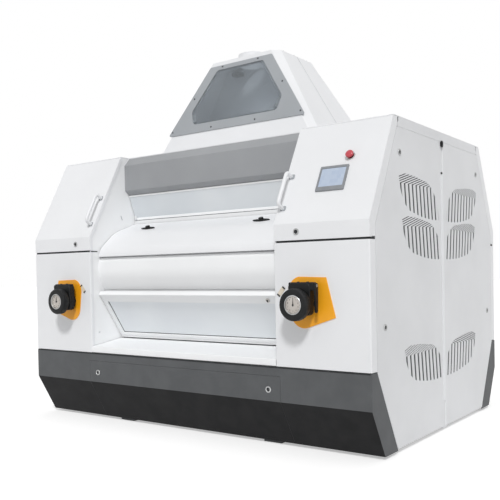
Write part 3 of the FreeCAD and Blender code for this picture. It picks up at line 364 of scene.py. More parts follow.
# one bmesh from (bmesh, matrix, material index) parts
def joined(parts):
    whole = bmesh.new()
    for part, matrix, index in parts:
        for face in part.faces:
            face.material_index = index
        bmesh.ops.transform(part, matrix=matrix, verts=part.verts)
        if matrix.determinant() < 0:
            bmesh.ops.reverse_faces(part, faces=part.faces)
        mesh = bpy.data.meshes.new("part")
        part.to_mesh(mesh)
        part.free()
        whole.from_mesh(mesh)
        bpy.data.meshes.remove(mesh)
    return whole


# joins the parts and puts them in the scene as one piece
def addJoined(name, parts, material, body, stands=()):
    return addPiece(name, meshFromBm(name, joined(parts)), material, body, stands)


def axes(origin, x, y, z):
    matrix = Matrix((x, y, z)).transposed().to_4x4()
    matrix.translation = origin
    return matrix


alongX, alongY, alongZ = Vector((1, 0, 0)), Vector((0, 1, 0)), Vector((0, 0, 1))
toFront, toMiddle, downwards = Vector((0, -1, 0)), Vector((-1, 0, 0)), Vector((0, 0, -1))
slantSize = math.hypot(mill["front"] - mill["slantTop"], mill["slantTopZ"] - mill["foldZ"])
slantUp = Vector((0, (mill["front"] - mill["slantTop"]) / slantSize,
                  (mill["slantTopZ"] - mill["foldZ"]) / slantSize))
slantOut = Vector((0, -slantUp.z, slantUp.y))


# place on the front right lid: x along the mill, up the slope, out of the sheet
def onSlant(x, up, out=0.0):
    return Vector((x, -mill["front"], mill["foldZ"])) + slantUp * up + slantOut * out


def slantFrame(x, up, out=0.0):
    return axes(onSlant(x, up, out), alongX, slantUp, slantOut)


def frontFrame(x, z, y=None):
    at = Vector((x, -mill["front"] if y is None else y, z))
    return axes(at, alongX, alongZ, toFront)


def sideFrame(y, z):
    at = Vector((mill["halfLength"], y, z))
    return axes(at, alongY, alongZ, alongX)


# Sheet and casting pieces that keep the outline of their sub-part

# the corners of each solid in a mesh of loose triangles: a solid ends where no edge is left open
def closedShells(bm):
    shells, corners, unpaired = [], [], set()
    for face in bm.faces:
        keys = [tuple(round(c * 1e5) for c in vert.co) for vert in face.verts]
        for i, key in enumerate(keys):
            unpaired ^= {frozenset((keys[i - 1], key))}
        corners += face.verts
        if not unpaired:
            shells.append(list(set(corners)))
            corners = []
    return shells + [list(set(corners))] if corners else shells


def extentOf(corners):
    low = Vector([min(v.co[i] for v in corners) for i in range(3)])
    high = Vector([max(v.co[i] for v in corners) for i in range(3)])
    return low, high


# softened copy of a sub-part: flat faces joined, edges rounded, curves shaded smooth
def skinOf(node, material, edge=0.0007, segments=2, keep=None, second=None):
    bm = bmesh.new()
    bm.from_mesh(frame["nodes"][node].data)
    for layer in list(bm.loops.layers.uv.values()):
        bm.loops.layers.uv.remove(layer)
    for shell in closedShells(bm):
        if keep and not keep(*extentOf(shell)):
            bmesh.ops.delete(bm, geom=shell, context="VERTS")
        else:
            bmesh.ops.remove_doubles(bm, verts=shell, dist=2e-5)
    bmesh.ops.dissolve_limit(bm, angle_limit=math.radians(0.4), verts=bm.verts, edges=bm.edges)
    if second:
        for face in bm.faces:
            face.material_index = int(second[1](face.calc_center_median(), face.normal))
        material = [material, second[0]]
    mesh = bpy.data.meshes.new(node + "_skin")
    bm.to_mesh(mesh)
    bm.free()
    for layer in ("custom_normal", "sharp_edge"):
        if layer in mesh.attributes:
            mesh.attributes.remove(mesh.attributes[layer])
    smoothByAngle(mesh, 28)
    piece = addPiece(node + "_skin", mesh, material, bodyOfNode[node], (node,))
    if edge:
        bevel = piece.modifiers.new("softEdge", "BEVEL")
        bevel.width = edge
        bevel.segments = segments
        bevel.limit_method = "ANGLE"
        bevel.angle_limit = math.radians(38)
        bevel.use_clamp_overlap = True
        bevel.harden_normals = True
        bakeModifiers(piece)
    return piece


# cheeks, sills, middle covers and flaps take the lighter white copy (painted light), the deck and the
# doors the darker one (painted shade)
sheets = [
    ("lower_panels", "white", "white_paint"),
    ("sills", "bright", "white_paint"),
    ("middle_covers", "bright", "white_paint"),
    ("feed_covers", "grey", "grey_paint"),
    ("cheek_plates", "bright", "white_paint"),
    ("top_deck", "pale", "light_paint"),
    ("window_bezels", "bezel", "grey_paint"),
    ("hopper_panes", "tinted", "clear_pane"),
    ("inlet_spouts", "white", "zinc"),
    ("dial_plates", "orange", "orange_paint"),
]
for side in sides:
    sheets += [(side + "_flap", "bright", "white_paint"),
               (side + "_flap_pane", "frosted", "clear_pane"),
               (side + "_roll_guard", "white", "white_paint")]
for side, end in corners:
    sheets.append((f"{side}_{end}_door", "pale", "light_paint"))
for node, material, slot in sheets:
    skinOf(node, material)
skinOf("hopper_shell", "white", edge=0.0003)
# the cover strip down each post keeps the plain white coat, the rest of the post takes the darker copy
# with painted shade
skinOf("side_posts", "pale",
       second=("white", lambda at, normal: abs(at.x) > 1.0275 and at.z > 0.14))
# the faces of the base turned down take the darker charcoal copy: painted shade
for node in ("base_skirts", "access_panels"):
    skinOf(node, "charcoal", second=("charcoalPaintedShade", lambda at, normal: normal.z < -0.3))
for side in sides:
    skinOf(side + "_feed_window", "feedPane",
           second=("bright", lambda at, normal: at.z < 1.095 or at.z > 1.194))
for side, end in corners:
    skinOf(f"{side}_{end}_cover", "white", edge=0.0004,
           keep=lambda low, high: not 0.008 < (high - low).x < 0.06)
castings = [("base_frame", "charcoal", "dark_base"), ("left_side_frame", "casting", "frame_iron"),
            ("right_side_frame", "casting", "frame_iron"), ("centre_wall", "casting", "frame_iron"),
            ("roll_bearings", "casting", "frame_iron"), ("discharge_hoppers", "zinc", "zinc"),
            ("engaging_cylinders", "silver", "zinc")]
for side in sides:
    castings += [(side + "_roll_arms", "casting", "frame_iron"),
                 (side + "_feed_roll", "steel", "ground_steel")]
for node, material, slot in castings:
    skinOf(node, material, edge=0.0012)
for node in grindingRolls["nodes"]:
    skinOf(node, "steel", edge=0.0012,
           second=(node, lambda at, normal: abs(at.x) < grindingRolls["faceHalf"]
                   and abs(normal.x) < 0.5))
print("sheets and castings done")


# Bow handles on the lids

bowHandle = {
    "x": 0.605, "low": 0.077, "high": 0.237,
    "standoff": 0.042, "radius": 0.0085, "bend": 0.016,
    "footWidth": 0.027, "footHeight": 0.024, "footSheet": 0.003, "footShift": 0.003,
}


# round rod along a path that lies in one plane square to X
def sweptRod(points, radius, segments=20):
    across = alongX
    loops = []
    for i, point in enumerate(points):
        along = (points[min(i + 1, len(points) - 1)] - points[max(i - 1, 0)]).normalized()
        normal = across.cross(along)
        loops.append([point + across * (radius * math.cos(a)) + normal * (radius * math.sin(a))
                      for a in (2 * math.pi * k / segments for k in range(segments))])
    return lofted(loops)


def makeHandles():
    b = bowHandle
    path = [(b["low"], 0.0), (b["low"], b["standoff"] - b["bend"])]
    for up, towards in ((b["low"], 1), (b["high"], -1)):
        arc = []
        for k in range(1, 9):
            angle = math.pi / 2 * k / 8
            arc.append((up + towards * b["bend"] * (1 - math.cos(angle)),
                        b["standoff"] - b["bend"] * (1 - math.sin(angle))))
        path += arc if towards > 0 else arc[::-1]
    path += [(b["high"], b["standoff"] - b["bend"]), (b["high"], 0.0)]
    for side, end in corners:
        parts = [(sweptRod([onSlant(b["x"], up, out) for up, out in path], b["radius"]),
                  cornerMatrix(side, end), 0)]
        for up in (b["low"], b["high"]):
            foot = roundedBlock(b["footWidth"], b["footHeight"], b["footSheet"], 0.006, 0.0008,
                                0.0002)
            parts.append((foot, cornerMatrix(side, end) @ slantFrame(b["x"] + b["footShift"], up), 1))
        name = f"{side}_{end}_cover"
        addJoined(name + "_handle", parts, ["white", "bezel"], name)


# Touch screen and stop button on the front right lid

panelControls = {
    "screenX": 0.815, "screenUp": 0.208, "width": 0.134, "height": 0.122,
    "proud": 0.007, "sideBorder": 0.009, "topBorder": 0.012, "lowBorder": 0.020,
    "stopX": 0.876, "stopUp": 0.314, "capRadius": 0.0175,
}


def makeScreen():
    p = panelControls
    w, h = p["width"], p["height"]
    glassW = w - 2 * p["sideBorder"]
    glassH = h - p["topBorder"] - p["lowBorder"]
    shift = (0, (p["lowBorder"] - p["topBorder"]) / 2)
    loops = [roundedLoop(w, h, 0.004, 0.0002), roundedLoop(w, h, 0.004, p["proud"] - 0.0015),
             roundedLoop(w - 0.002, h - 0.002, 0.004, p["proud"])]
    for grow, z in ((0.001, p["proud"]), (0, p["proud"] - 0.0006), (0, p["proud"] - 0.0022)):
        loops.append(roundedLoop(glassW + grow, glassH + grow, 0.002, z, centre=shift))
    glass = roundedBlock(glassW - 0.0004, glassH - 0.0004, 0.002, 0.002, 0.0003,
                         p["proud"] - 0.0040, shift)
    back = roundedBlock(0.099, 0.089, 0.035, 0.003, 0.001, -0.035)
    matrix = slantFrame(p["screenX"], p["screenUp"])
    parts = [(lofted(loops), matrix, 0), (glass, matrix, 1), (back, matrix, 0)]
    addJoined("touchScreenUnit", parts, ["screenFrame", "screen"], "front_right_cover",
              ("touch_screen",))


def makeStopButton():
    p = panelControls
    r = p["capRadius"]
    cap = [(0.0078, -0.016), (0.0078, 0.0098), (r * 0.8, 0.0098), (r * 0.97, 0.0105), (r, 0.0125),
           (r, 0.0165)]
    for k in range(1, 7):
        angle = math.pi / 2 * k / 6
        cap.append((r * math.cos(angle * 0.92), 0.0165 + 0.0052 * math.sin(angle)))
    cap.append((0.0008, 0.0218))
    matrix = slantFrame(p["stopX"], p["stopUp"])
    addJoined("stopButtonCap", [(turned(cap, 48), matrix, 0)], "red", "stop_button",
              ("stop_button",))
    collar = [(0.0205, 0.0002), (0.0205, 0.0022), (0.0190, 0.0035), (0.0125, 0.0038),
              (0.0092, 0.0038), (0.0092, 0.0002)]
    addJoined("stopButtonCollar", [(turned(collar, 48), matrix, 0)], "nickel",
              "front_right_cover")


# Roll gap handwheels with their dials, clamps and lock levers

handwheel = {
    "x": 0.735, "z": 0.635, "front": 0.105, "back": 0.067,
    "radius": 0.066, "dialRadius": 0.040, "dialDepth": 0.005, "flutes": 36, "fluteDepth": 0.0006,
    "clampFront": 0.055, "clampBack": 0.022, "spindle": 0.009, "numbers": 10,
}


def wheelProfile():
    w = handwheel
    front, back, r = w["front"], w["back"], w["radius"]
    rim = [(0.022, back + 0.004), (r - 0.016, back + 0.004), (r - 0.012, back), (r - 0.005, back),
           (r - 0.0015, back + 0.002, 1), (r, back + 0.006, 1), (r, front - 0.008, 1),
           (r - 0.0015, front - 0.004, 1), (r - 0.006, front - 0.001), (r - 0.012, front),
           (w["dialRadius"] + 0.004, front), (w["dialRadius"] + 0.001, front - 0.0006),
           (w["dialRadius"], front - 0.002), (w["dialRadius"], front - w["dialDepth"]),
           (0.0006, front - w["dialDepth"])]
    shaft = [(0.0006, -0.090), (w["spindle"], -0.090), (w["spindle"], w["clampFront"] + 0.0003),
             (0.022, w["clampFront"] + 0.0003), (0.022, back + 0.004)]
    return shaft + rim


# Geometry Nodes tree with named inputs, and the sockets that give them
def newTree(name, inputs):
    tree = bpy.data.node_groups.new(name, "GeometryNodeTree")
    for title, kind in {"Geometry": "Geometry", **inputs}.items():
        tree.interface.new_socket(title, in_out="INPUT", socket_type="NodeSocket" + kind)
    tree.interface.new_socket("Geometry", in_out="OUTPUT", socket_type="NodeSocketGeometry")
    return tree, addNode(tree, "NodeGroupInput").outputs


# makes the copies real, gives them their finish and ends the tree
def closeTree(tree, given, copies):
    solid = addNode(tree, "GeometryNodeRealizeInstances", links={"Geometry": copies.outputs[0]})
    coloured = addNode(tree, "GeometryNodeSetMaterial",
                       links={"Geometry": solid.outputs[0], "Material": given["Finish"]})
    addNode(tree, "NodeGroupOutput", links={"Geometry": coloured.outputs[0]})
    return tree


# Geometry Nodes: marks round a dial, every count-th of a turn
def dialTickTree():
    tree, given = newTree("dialTicks", {"Count": "Int", "Ring Radius": "Float",
                                        "Mark Length": "Float", "Mark Width": "Float",
                                        "Finish": "Material"})
    ring = addNode(tree, "GeometryNodeMeshCircle",
                   links={"Vertices": given["Count"], "Radius": given["Ring Radius"]})
    size = addNode(tree, "ShaderNodeCombineXYZ", {"Z": 0.0004},
                   {"X": given["Mark Length"], "Y": given["Mark Width"]})
    mark = addNode(tree, "GeometryNodeMeshCube", links={"Size": size.outputs[0]})
    place = addNode(tree, "GeometryNodeInputPosition")
    turn = addNode(tree, "FunctionNodeAlignRotationToVector", links={"Vector": place.outputs[0]},
                   axis="X")
    marks = addNode(tree, "GeometryNodeInstanceOnPoints",
                    links={"Points": ring.outputs["Mesh"], "Instance": mark.outputs["Mesh"],
                           "Rotation": turn.outputs[0]})
    return closeTree(tree, given, marks)


# runs a Geometry Nodes tree and gives back its plain mesh
def treeMesh(name, tree, inputs, start=None):
    holder = newObject(name, start or bpy.data.meshes.new(name))
    modifier = holder.modifiers.new("nodes", "NODES")
    modifier.node_group = tree
    for item in tree.interface.items_tree:
        if item.in_out == "INPUT" and item.name in inputs:
            modifier[item.identifier] = inputs[item.name]
    mesh = evaluatedMesh(holder)
    mesh.name = name
    bpy.data.objects.remove(holder)
    return mesh


def bmOf(mesh):
    bm = bmesh.new()
    bm.from_mesh(mesh)
    return bm


# raised figures, centred, facing +Z
def textBm(words, size, depth):
    curve = bpy.data.curves.new("figures", "FONT")
    curve.body = words
    curve.size = size
    curve.extrude = depth / 2
    curve.align_x = "CENTER"
    curve.align_y = "CENTER"
    holder = newObject("figures", curve)
    bm = bmOf(evaluatedMesh(holder))
    bpy.data.objects.remove(holder)
    return bm


def makeHandwheels():
    w = handwheel
    ticks = dialTickTree()
    faceZ = w["front"] - w["dialDepth"]
    fine = treeMesh("fineMarks", ticks, {"Count": 50, "Ring Radius": 0.0335, "Mark Length": 0.003,
                                         "Mark Width": 0.0006, "Finish": finish["nylon"]})
    bold = treeMesh("boldMarks", ticks, {"Count": w["numbers"], "Ring Radius": 0.0325,
                                         "Mark Length": 0.005, "Mark Width": 0.0012,
                                         "Finish": finish["nylon"]})
    for side, end in corners:
        matrix = cornerMatrix(side, end) @ frontFrame(w["x"], w["z"])
        # figures are laid out on the mirrored place itself, so that they still read
        upright = frontFrame(w["x"] if end == "right" else -w["x"], w["z"])
        if side == "rear":
            upright = Matrix.Rotation(math.pi, 4, "Z") @ frontFrame(
                -w["x"] if end == "right" else w["x"], w["z"])
        parts = [(turned(wheelProfile(), 144, w["flutes"], w["fluteDepth"]), matrix, 0)]
        r = w["dialRadius"]
        ring = [(r - 0.0002, faceZ + 0.0001), (r - 0.0002, faceZ + 0.004),
                (r - 0.0012, faceZ + 0.0047), (r - 0.0035, faceZ + 0.0040),
                (r - 0.0042, faceZ + 0.0004)]
        parts.append((turned(ring, 64), matrix, 1))
        parts.append((turned([(0.0355, faceZ + 0.0001), (0.0355, faceZ + 0.0005)], 64), matrix, 2))
        lift = Matrix.Translation((0, 0, faceZ + 0.0007))
        parts += [(bmOf(fine), upright @ lift, 3), (bmOf(bold), upright @ lift, 3)]
        for k in range(w["numbers"]):
            angle = math.pi / 2 - 2 * math.pi * k / w["numbers"]
            at = Matrix.Translation((0.0255 * math.cos(angle), 0.0255 * math.sin(angle), 0))
            parts.append((textBm(str(k), 0.0085, 0.0004), upright @ lift @ at, 3))
        hand = lofted([[Vector((x, y, z)) for x, y in ((-0.0016, -0.006), (0.0016, -0.006),
                                                      (0.0003, 0.024), (-0.0003, 0.024))]
                       for z in (0.0006, 0.0014)])
        parts.append((hand, upright @ lift, 3))
        parts.append((turned([(0.0038, 0), (0.0038, 0.0016), (0.003, 0.0024), (0.0003, 0.0026)], 32),
                      upright @ lift, 3))
        name = f"{side}_{end}_handwheel"
        addJoined(name + "_wheel", parts, ["nylon", "nickel", "dial", "rubber"], name,
                  (name,))


def makeClamps():
    w = handwheel
    parts = []
    for side, end in corners:
        matrix = cornerMatrix(side, end) @ frontFrame(w["x"], w["z"])
        depth = w["clampFront"] - w["clampBack"]
        low = -0.046
        body = roundedBlock(0.104, 0.134, depth, 0.020, 0.002, w["clampBack"], (0, low + 0.067))
        bar = roundedBlock(0.119, 0.034, depth - 0.006, 0.006, 0.002, w["clampBack"] + 0.004,
                           (0.0085, 0.0735))
        neck = turned([(0.0102, 0.0043), (0.042, 0.0043), (0.042, 0.012), (0.036, 0.0225),
                       (0.0102, 0.0225)], 64)
        sleeve = turned([(0.0098, -0.060), (0.0215, -0.060), (0.0215, 0.0045), (0.0098, 0.0045)], 48)
        parts += [(body, matrix, 0), (bar, matrix, 0), (neck, matrix, 0), (sleeve, matrix, 0)]
        for x in (-0.012, 0.034):
            head = turned([(0.0055, 0), (0.0055, 0.004), (0.0048, 0.0048), (0.003, 0.0048),
                           (0.003, 0.002)], 24)
            up = Matrix.Translation((x, 0.0882, w["clampBack"] + depth / 2))
            parts.append((head, matrix @ up @ Matrix.Rotation(-math.pi / 2, 4, "X"), 1))
    addJoined("rollGapClamps", parts, ["nylon", "rubber"], "frame",
              ("clamp_blocks",))


lockLever = {"x": 0.8033, "y": -0.804, "z": 0.711, "width": 0.010, "length": 0.110}


def makeLevers():
    v = lockLever
    for side, end in corners:
        loops = []
        for x, inset in ((0, 0.001), (0.001, 0), (v["width"] - 0.001, 0), (v["width"], 0.001)):
            ring = []
            for k in range(17):
                a = math.pi * k / 16
                ring.append((0.011 * math.cos(a), 0.011 * math.sin(a)))
            for k in range(17):
                a = math.pi + math.pi * k / 16
                ring.append((0.0065 * math.cos(a), -v["length"] + 0.0065 + 0.0065 * math.sin(a)))
            centre = Vector((0, -v["length"] / 2))
            loop = []
            for y, z in ring:
                away = (Vector((y, z)) - centre).normalized() * inset
                loop.append(Vector((v["x"] + x, v["y"] + y - away.x, v["z"] + z - away.y)))
            loops.append(loop)
        pin = turned([(0.0048, 0), (0.0048, 0.0253), (0.0003, 0.0253)], 24)
        toX = axes(Vector((v["x"] + 0.0003, v["y"], v["z"])), alongY, downwards, toMiddle)
        head = turned([(0.0065, 0), (0.0065, 0.0015), (0.005, 0.0022), (0.0003, 0.0022)], 24)
        onX = axes(Vector((v["x"] + v["width"], v["y"], v["z"])), alongY, alongZ, alongX)
        place = cornerMatrix(side, end)
        parts = [(lofted(loops), place, 0), (pin, place @ toX, 1), (head, place @ onX, 1)]
        name = f"{side}_{end}_lock_lever"
        addJoined(name + "_arm", parts, ["nylon", "nickel"], name, (name,))


# Wing knobs on the roll guards

wingKnob = {
    "x": 0.366, "y": -0.548, "length": 0.098, "width": 0.030, "height": 0.007,
    "bossRadius": 0.012, "bossHeight": 0.017,
    "ledge": (-0.442, 1.047), "crown": (-0.591, 0.995),
}


def ledgeFrame(x, y):
    k = wingKnob
    run = Vector((0, k["ledge"][0] - k["crown"][0], k["ledge"][1] - k["crown"][1])).normalized()
    z = k["ledge"][1] + (y - k["ledge"][0]) * run.z / run.y
    return axes(Vector((x, y, z)), alongX, run, Vector((0, -run.z, run.y)))


def makeKnobs():
    k = wingKnob
    half, wide = k["length"] / 2, k["width"] / 2
    loops = []
    for shrink, z in ((0.94, 0.0003), (1.0, 0.0013), (1.0, k["height"] - 0.0020),
                      (0.93, k["height"] - 0.0004), (0.86, k["height"])):
        ring = []
        for a in range(48):
            angle = 2 * math.pi * a / 48
            c, s = math.cos(angle), math.sin(angle)
            power = 1.35                         # between a diamond and an ellipse
            r = (abs(c / half) ** power + abs(s / wide) ** power) ** (-1 / power) * shrink
            ring.append(Vector((r * c, r * s, z)))
        loops.append(ring)
    boss = [(k["bossRadius"], k["height"] - 0.001), (k["bossRadius"], k["bossHeight"] - 0.003),
            (k["bossRadius"] - 0.002, k["bossHeight"] - 0.0006),
            (k["bossRadius"] - 0.005, k["bossHeight"]), (0.0003, k["bossHeight"])]
    stem = [(0.0048, -0.018), (0.0048, 0.001)]
    for side, end in corners:
        matrix = cornerMatrix(side, end) @ ledgeFrame(k["x"], k["y"])
        parts = [(lofted(loops), matrix, 0), (turned(boss, 48), matrix, 0),
                 (turned(stem, 24), matrix, 1)]
        name = f"{side}_{end}_wing_knob"
        addJoined(name + "_grip", parts, ["nylon", "nickel"], name, (name,))


# Quarter-turn locks, screws and other small repeats: templates set out by Geometry Nodes

# Geometry Nodes: one template on every point, turned by the point's own angles
def placedCopiesTree():
    tree, given = newTree("placedCopies", {"Template": "Object", "Scale": "Float",
                                           "Finish": "Material"})
    shape = addNode(tree, "GeometryNodeObjectInfo", links={"Object": given["Template"]})
    turn = addNode(tree, "GeometryNodeInputNamedAttribute", {"Name": "turn"},
                   data_type="FLOAT_VECTOR")
    copies = addNode(tree, "GeometryNodeInstanceOnPoints",
                     links={"Points": given["Geometry"], "Instance": shape.outputs["Geometry"],
                            "Rotation": turn.outputs[0], "Scale": given["Scale"]})
    return closeTree(tree, given, copies)


copiesTree = placedCopiesTree()


# template mesh at every place, as one piece of one body
def setOut(name, template, places, material, body, scale=1.0):
    points = bpy.data.meshes.new("points")
    points.from_pydata([m.translation for m in places], [], [])
    turns = points.attributes.new("turn", "FLOAT_VECTOR", "POINT")
    for i, m in enumerate(places):
        turns.data[i].vector = m.to_euler()
    pattern = newObject("pattern", template)
    mesh = treeMesh(name, copiesTree, {"Template": pattern, "Scale": scale,
                                       "Finish": finish[material]}, points)
    bpy.data.objects.remove(pattern)
    mesh.materials.clear()
    smoothByAngle(mesh)
    return addPiece(name, mesh, material, body)


# place at another corner. Turned pieces look the same mirrored, so axes stay right-handed
def mirrored(matrix, side, end):
    m = cornerMatrix(side, end) @ matrix
    if m.determinant() < 0:
        m = m @ Matrix.Diagonal((-1, 1, 1, 1))
    return m


quarterLock = {
    "radius": 0.0145, "bore": 0.0108, "proud": 0.003,
    "lid": (0.692, 0.935), "access": (0.538, 0.264),      # X and Z on the front
    "door": [(-0.475, 1.262), (-0.637, 0.537)],           # Y and Z on the end
}


def lockBezelMesh():
    q = quarterLock
    bezel = [(q["bore"], -0.004), (q["bore"] + 0.0008, -0.004), (q["bore"] + 0.0008, 0.0002),
             (q["radius"], 0.0002), (q["radius"], 0.0012), (q["radius"] - 0.0012, q["proud"]),
             (q["bore"] - 0.0015, q["proud"]), (q["bore"] - 0.0022, q["proud"] - 0.0008),
             (q["bore"] - 0.0022, -0.004)]
    return meshFromBm("lockBezel", turned(bezel, 40))


# turning core with a square key post in a round well
def lockCoreMesh():
    core = turned([(0.0084, -0.006), (0.0084, 0.0004), (0.0078, 0.0010), (0.0062, 0.0010),
                   (0.0058, -0.003), (0.0003, -0.003)], 32)
    post = roundedBlock(0.0062, 0.0062, 0.0050, 0.0008, 0.0004, -0.0035)
    return meshFromBm("lockCore", joined([(core, Matrix(), 0),
                                          (post, Matrix.Rotation(0.5, 4, "Z"), 0)]))


def makeLocks():
    bezel, core = lockBezelMesh(), lockCoreMesh()
    q = quarterLock
    lip, access = frontFrame(*q["lid"]), frontFrame(*q["access"])
    doorLocks = [sideFrame(*spot) for spot in q["door"]]
    spots = {"frame": []}
    for side, end in corners:
        spots[f"{side}_{end}_cover"] = [mirrored(lip, side, end)]
        spots[f"{side}_{end}_door"] = [mirrored(m, side, end) for m in doorLocks]
        spots["frame"].append(mirrored(access, side, end))
    for body, places in spots.items():
        setOut(body + "_lockBezels", bezel, places, "nickel", body)
        setOut(body + "_lockCores", core, places, "blackened", body)


socketScrew = {
    "head": 0.0045, "height": 0.0026, "proud": 0.0049,
    "spots": [(-0.118, 1.891), (0.118, 1.891), (0.292, 1.735), (0.422, 1.560), (0.145, 1.556),
              (-0.145, 1.556), (-0.422, 1.560), (-0.292, 1.735)],      # X and Z
    "foot": (-0.306, 1.414), "run": (0.119, 0.511),     # Y and Z of the sloping bezel
}


def makeScrews():
    s = socketScrew
    head = meshFromBm("screwHead", turned([(s["head"], 0), (s["head"], s["height"] * 0.5),
                                           (s["head"] * 0.75, s["height"]), (0.0022, s["height"]),
                                           (0.0019, 0.0008), (0.0003, 0.0008)], 20))
    footY, footZ = s["foot"]
    runY, runZ = s["run"]
    lean = math.atan2(runY, runZ)
    places = []
    for x, z in s["spots"]:
        y = footY + (z - footZ) * runY / runZ
        m = axes(Vector((x, y, z)), alongX, Vector((0, math.sin(lean), math.cos(lean))),
                 Vector((0, -math.cos(lean), math.sin(lean))))
        m.translation += m.to_3x3() @ Vector((0, 0, s["proud"]))
        places += [mirrored(m, side, "right") for side in sides]
    setOut("bezelScrews", head, places, "blackened", "frame")


# Vents, seals and small fittings

# grey acoustic felt behind the vents of each door
ventLining = {
    "shifts": [(0.0, 0.0), (0.027, -0.181), (0.036, -0.738)],     # leaf to leaf, along Y and Z
    "left": -0.500, "right": -0.033, "hingeEdge": -0.0165,
    "low": 0.985, "high": 1.189, "sheet": 0.0027, "setBack": 0.0035,
}


def makeVentLinings():
    v = ventLining
    for side, end in corners:
        parts = []
        for dy, dz in v["shifts"]:
            left, right = v["left"] + dy, min(v["right"] + dy, v["hingeEdge"])
            block = roundedBlock(right - left, v["high"] - v["low"], v["sheet"], 0.012, 0.0005,
                                 -v["setBack"] - v["sheet"])
            at = sideFrame((left + right) / 2, (v["low"] + v["high"]) / 2 + dz)
            parts.append((block, cornerMatrix(side, end) @ at, 0))
        name = f"{side}_{end}_door"
        addJoined(name + "_lining", parts, "felt", name)


lidSeal = {"height": 0.0085, "depth": 0.012, "setBack": 0.004}


# black rubber strip in the gap between each lid and the panel below
def makeLidSeals():
    s = lidSeal
    parts = []
    for side, end in corners:
        x0, x1 = mill["openingHalf"] + 0.012, mill["halfLength"] - 0.004
        y = -mill["front"] + s["setBack"] + s["depth"] / 2
        block = roundedBlock(x1 - x0, s["depth"], s["height"], 0.002, 0.0006, mill["panelTop"] + 0.0002,
                             ((x0 + x1) / 2, y))
        parts.append((block, cornerMatrix(side, end), 0))
        run = roundedBlock(s["depth"], 0.05, s["height"], 0.002, 0.0006, mill["panelTop"] + 0.0002,
                           (x1 - s["depth"] / 2, y + 0.02))
        parts.append((run, cornerMatrix(side, end), 0))
    addJoined("lidSeals", parts, "rubber", "frame")


scaleTag = {
    "x": 0.614, "z": 0.686, "leftX": 0.640, "leftZ": 0.699, "lean": 0.69,
    "width": 0.020, "length": 0.034,
    "clipAt": 0.0205, "clipWidth": 0.017, "clipHeight": 0.0055,
}


# small slanted enamel tag held by a dark clip at each end, beside each handwheel
def makeScaleLabels():
    parts = []
    for side, end in corners:
        t = scaleTag
        inLeft = (side == "front") == (end == "left")
        x, z = (t["leftX"], t["leftZ"]) if inLeft else (t["x"], t["z"])
        matrix = (cornerMatrix(side, end) @ frontFrame(x, z)
                  @ Matrix.Rotation(-t["lean"], 4, "Z"))
        parts.append((roundedBlock(t["width"], t["length"], 0.0012, 0.002, 0.0003, 0.0002), matrix, 0))
        for y in (-t["clipAt"], t["clipAt"]):
            parts.append((roundedBlock(t["clipWidth"], t["clipHeight"], 0.003, 0.002, 0.0006, 0.0002,
                                       (0, y)), matrix, 1))
    addJoined("scaleTags", parts, ["enamel", "nylon"], "frame")


# Flap edging, gaskets and the small latch

flapTrim = {
    "foot": (-0.548, 0.432), "along": (-0.5513, 0.8343),
    "halfWidth": 0.551, "low": 0.028, "high": 0.236, "bead": 0.0028, "paneFace": 0.0083,
    "stripLow": 0.010, "stripHigh": 0.0265, "stripSheet": 0.0012,
    "latchX": 0.492, "latchUp": 0.255, "latchRadius": 0.0105,
}


# frame on the outer face of the front flap: X along the mill, Y up the flap, Z outwards
def flapFrame(x, up, inward=0.0):
    u = Vector((0, *flapTrim["along"]))
    out = Vector((0, -u.z, u.y))
    return axes(Vector((x, *flapTrim["foot"])) + u * up - out * inward, alongX, u, out)


# flat ring between two rectangles, as a closed band
def beadRing(halfWidth, low, high, width, sheet):
    mid = (0, (low + high) / 2)
    outer = (2 * halfWidth, high - low)
    loops = []
    for shrink, z in ((0, 0), (0, sheet), (2 * width, sheet), (2 * width, 0), (0, 0)):
        loops.append(roundedLoop(outer[0] - shrink, outer[1] - shrink, 0.003, z, 3, mid))
    return lofted(loops, False)


def makeFlapTrim():
    t = flapTrim
    for side in sides:
        turn = cornerMatrix(side, "right")
        bead = beadRing(t["halfWidth"] - 0.0004, t["low"] + 0.0004, t["high"] - 0.0004, t["bead"],
                        0.0012)
        bmesh.ops.remove_doubles(bead, verts=bead.verts, dist=1e-6)
        strip = roundedBlock(2 * t["halfWidth"] + 0.040, t["stripHigh"] - t["stripLow"],
                             t["stripSheet"], 0.002, 0.0004, 0.0002,
                             (0, (t["stripLow"] + t["stripHigh"]) / 2))
        r = t["latchRadius"]
        latch = turned([(r, 0.0002), (r, 0.003), (r * 0.85, 0.0045), (r * 0.55, 0.0045),
                        (r * 0.5, 0.003), (0.0003, 0.003)], 32)
        key = roundedBlock(0.0035, 0.012, 0.006, 0.0008, 0.0004, 0.002)
        parts = [(bead, turn @ flapFrame(0, 0, t["paneFace"]), 0),
                 (strip, turn @ flapFrame(0, 0), 1),
                 (latch, turn @ flapFrame(t["latchX"], t["latchUp"]), 2),
                 (key, turn @ flapFrame(t["latchX"], t["latchUp"]), 0)]
        addJoined(side + "_flap_trim", parts, ["rubber", "bright", "silver"], side + "_flap")


# Latches, plugs and seams seen on the outside

smallFittings = {
    "cheekX": 0.5834,
    "slot": (-0.530, 1.080), "slotLength": 0.026, "slotWidth": 0.004, "slotLean": 1.15,
    "plug": (-0.707, 0.469), "plugRadius": 0.006,
    "latchZ": 1.359, "latchWidth": 0.0215, "latchHeight": 0.030,
    "buttonZ": 1.222, "buttonRadius": 0.0048,
    "seamWidth": 0.0022, "seamSheet": 0.0007,
}


# frame on the right cheek, seen from inside the opening
def cheekFrame(y, z):
    at = Vector((smallFittings["cheekX"], y, z))
    return axes(at, toFront, alongZ, toMiddle)


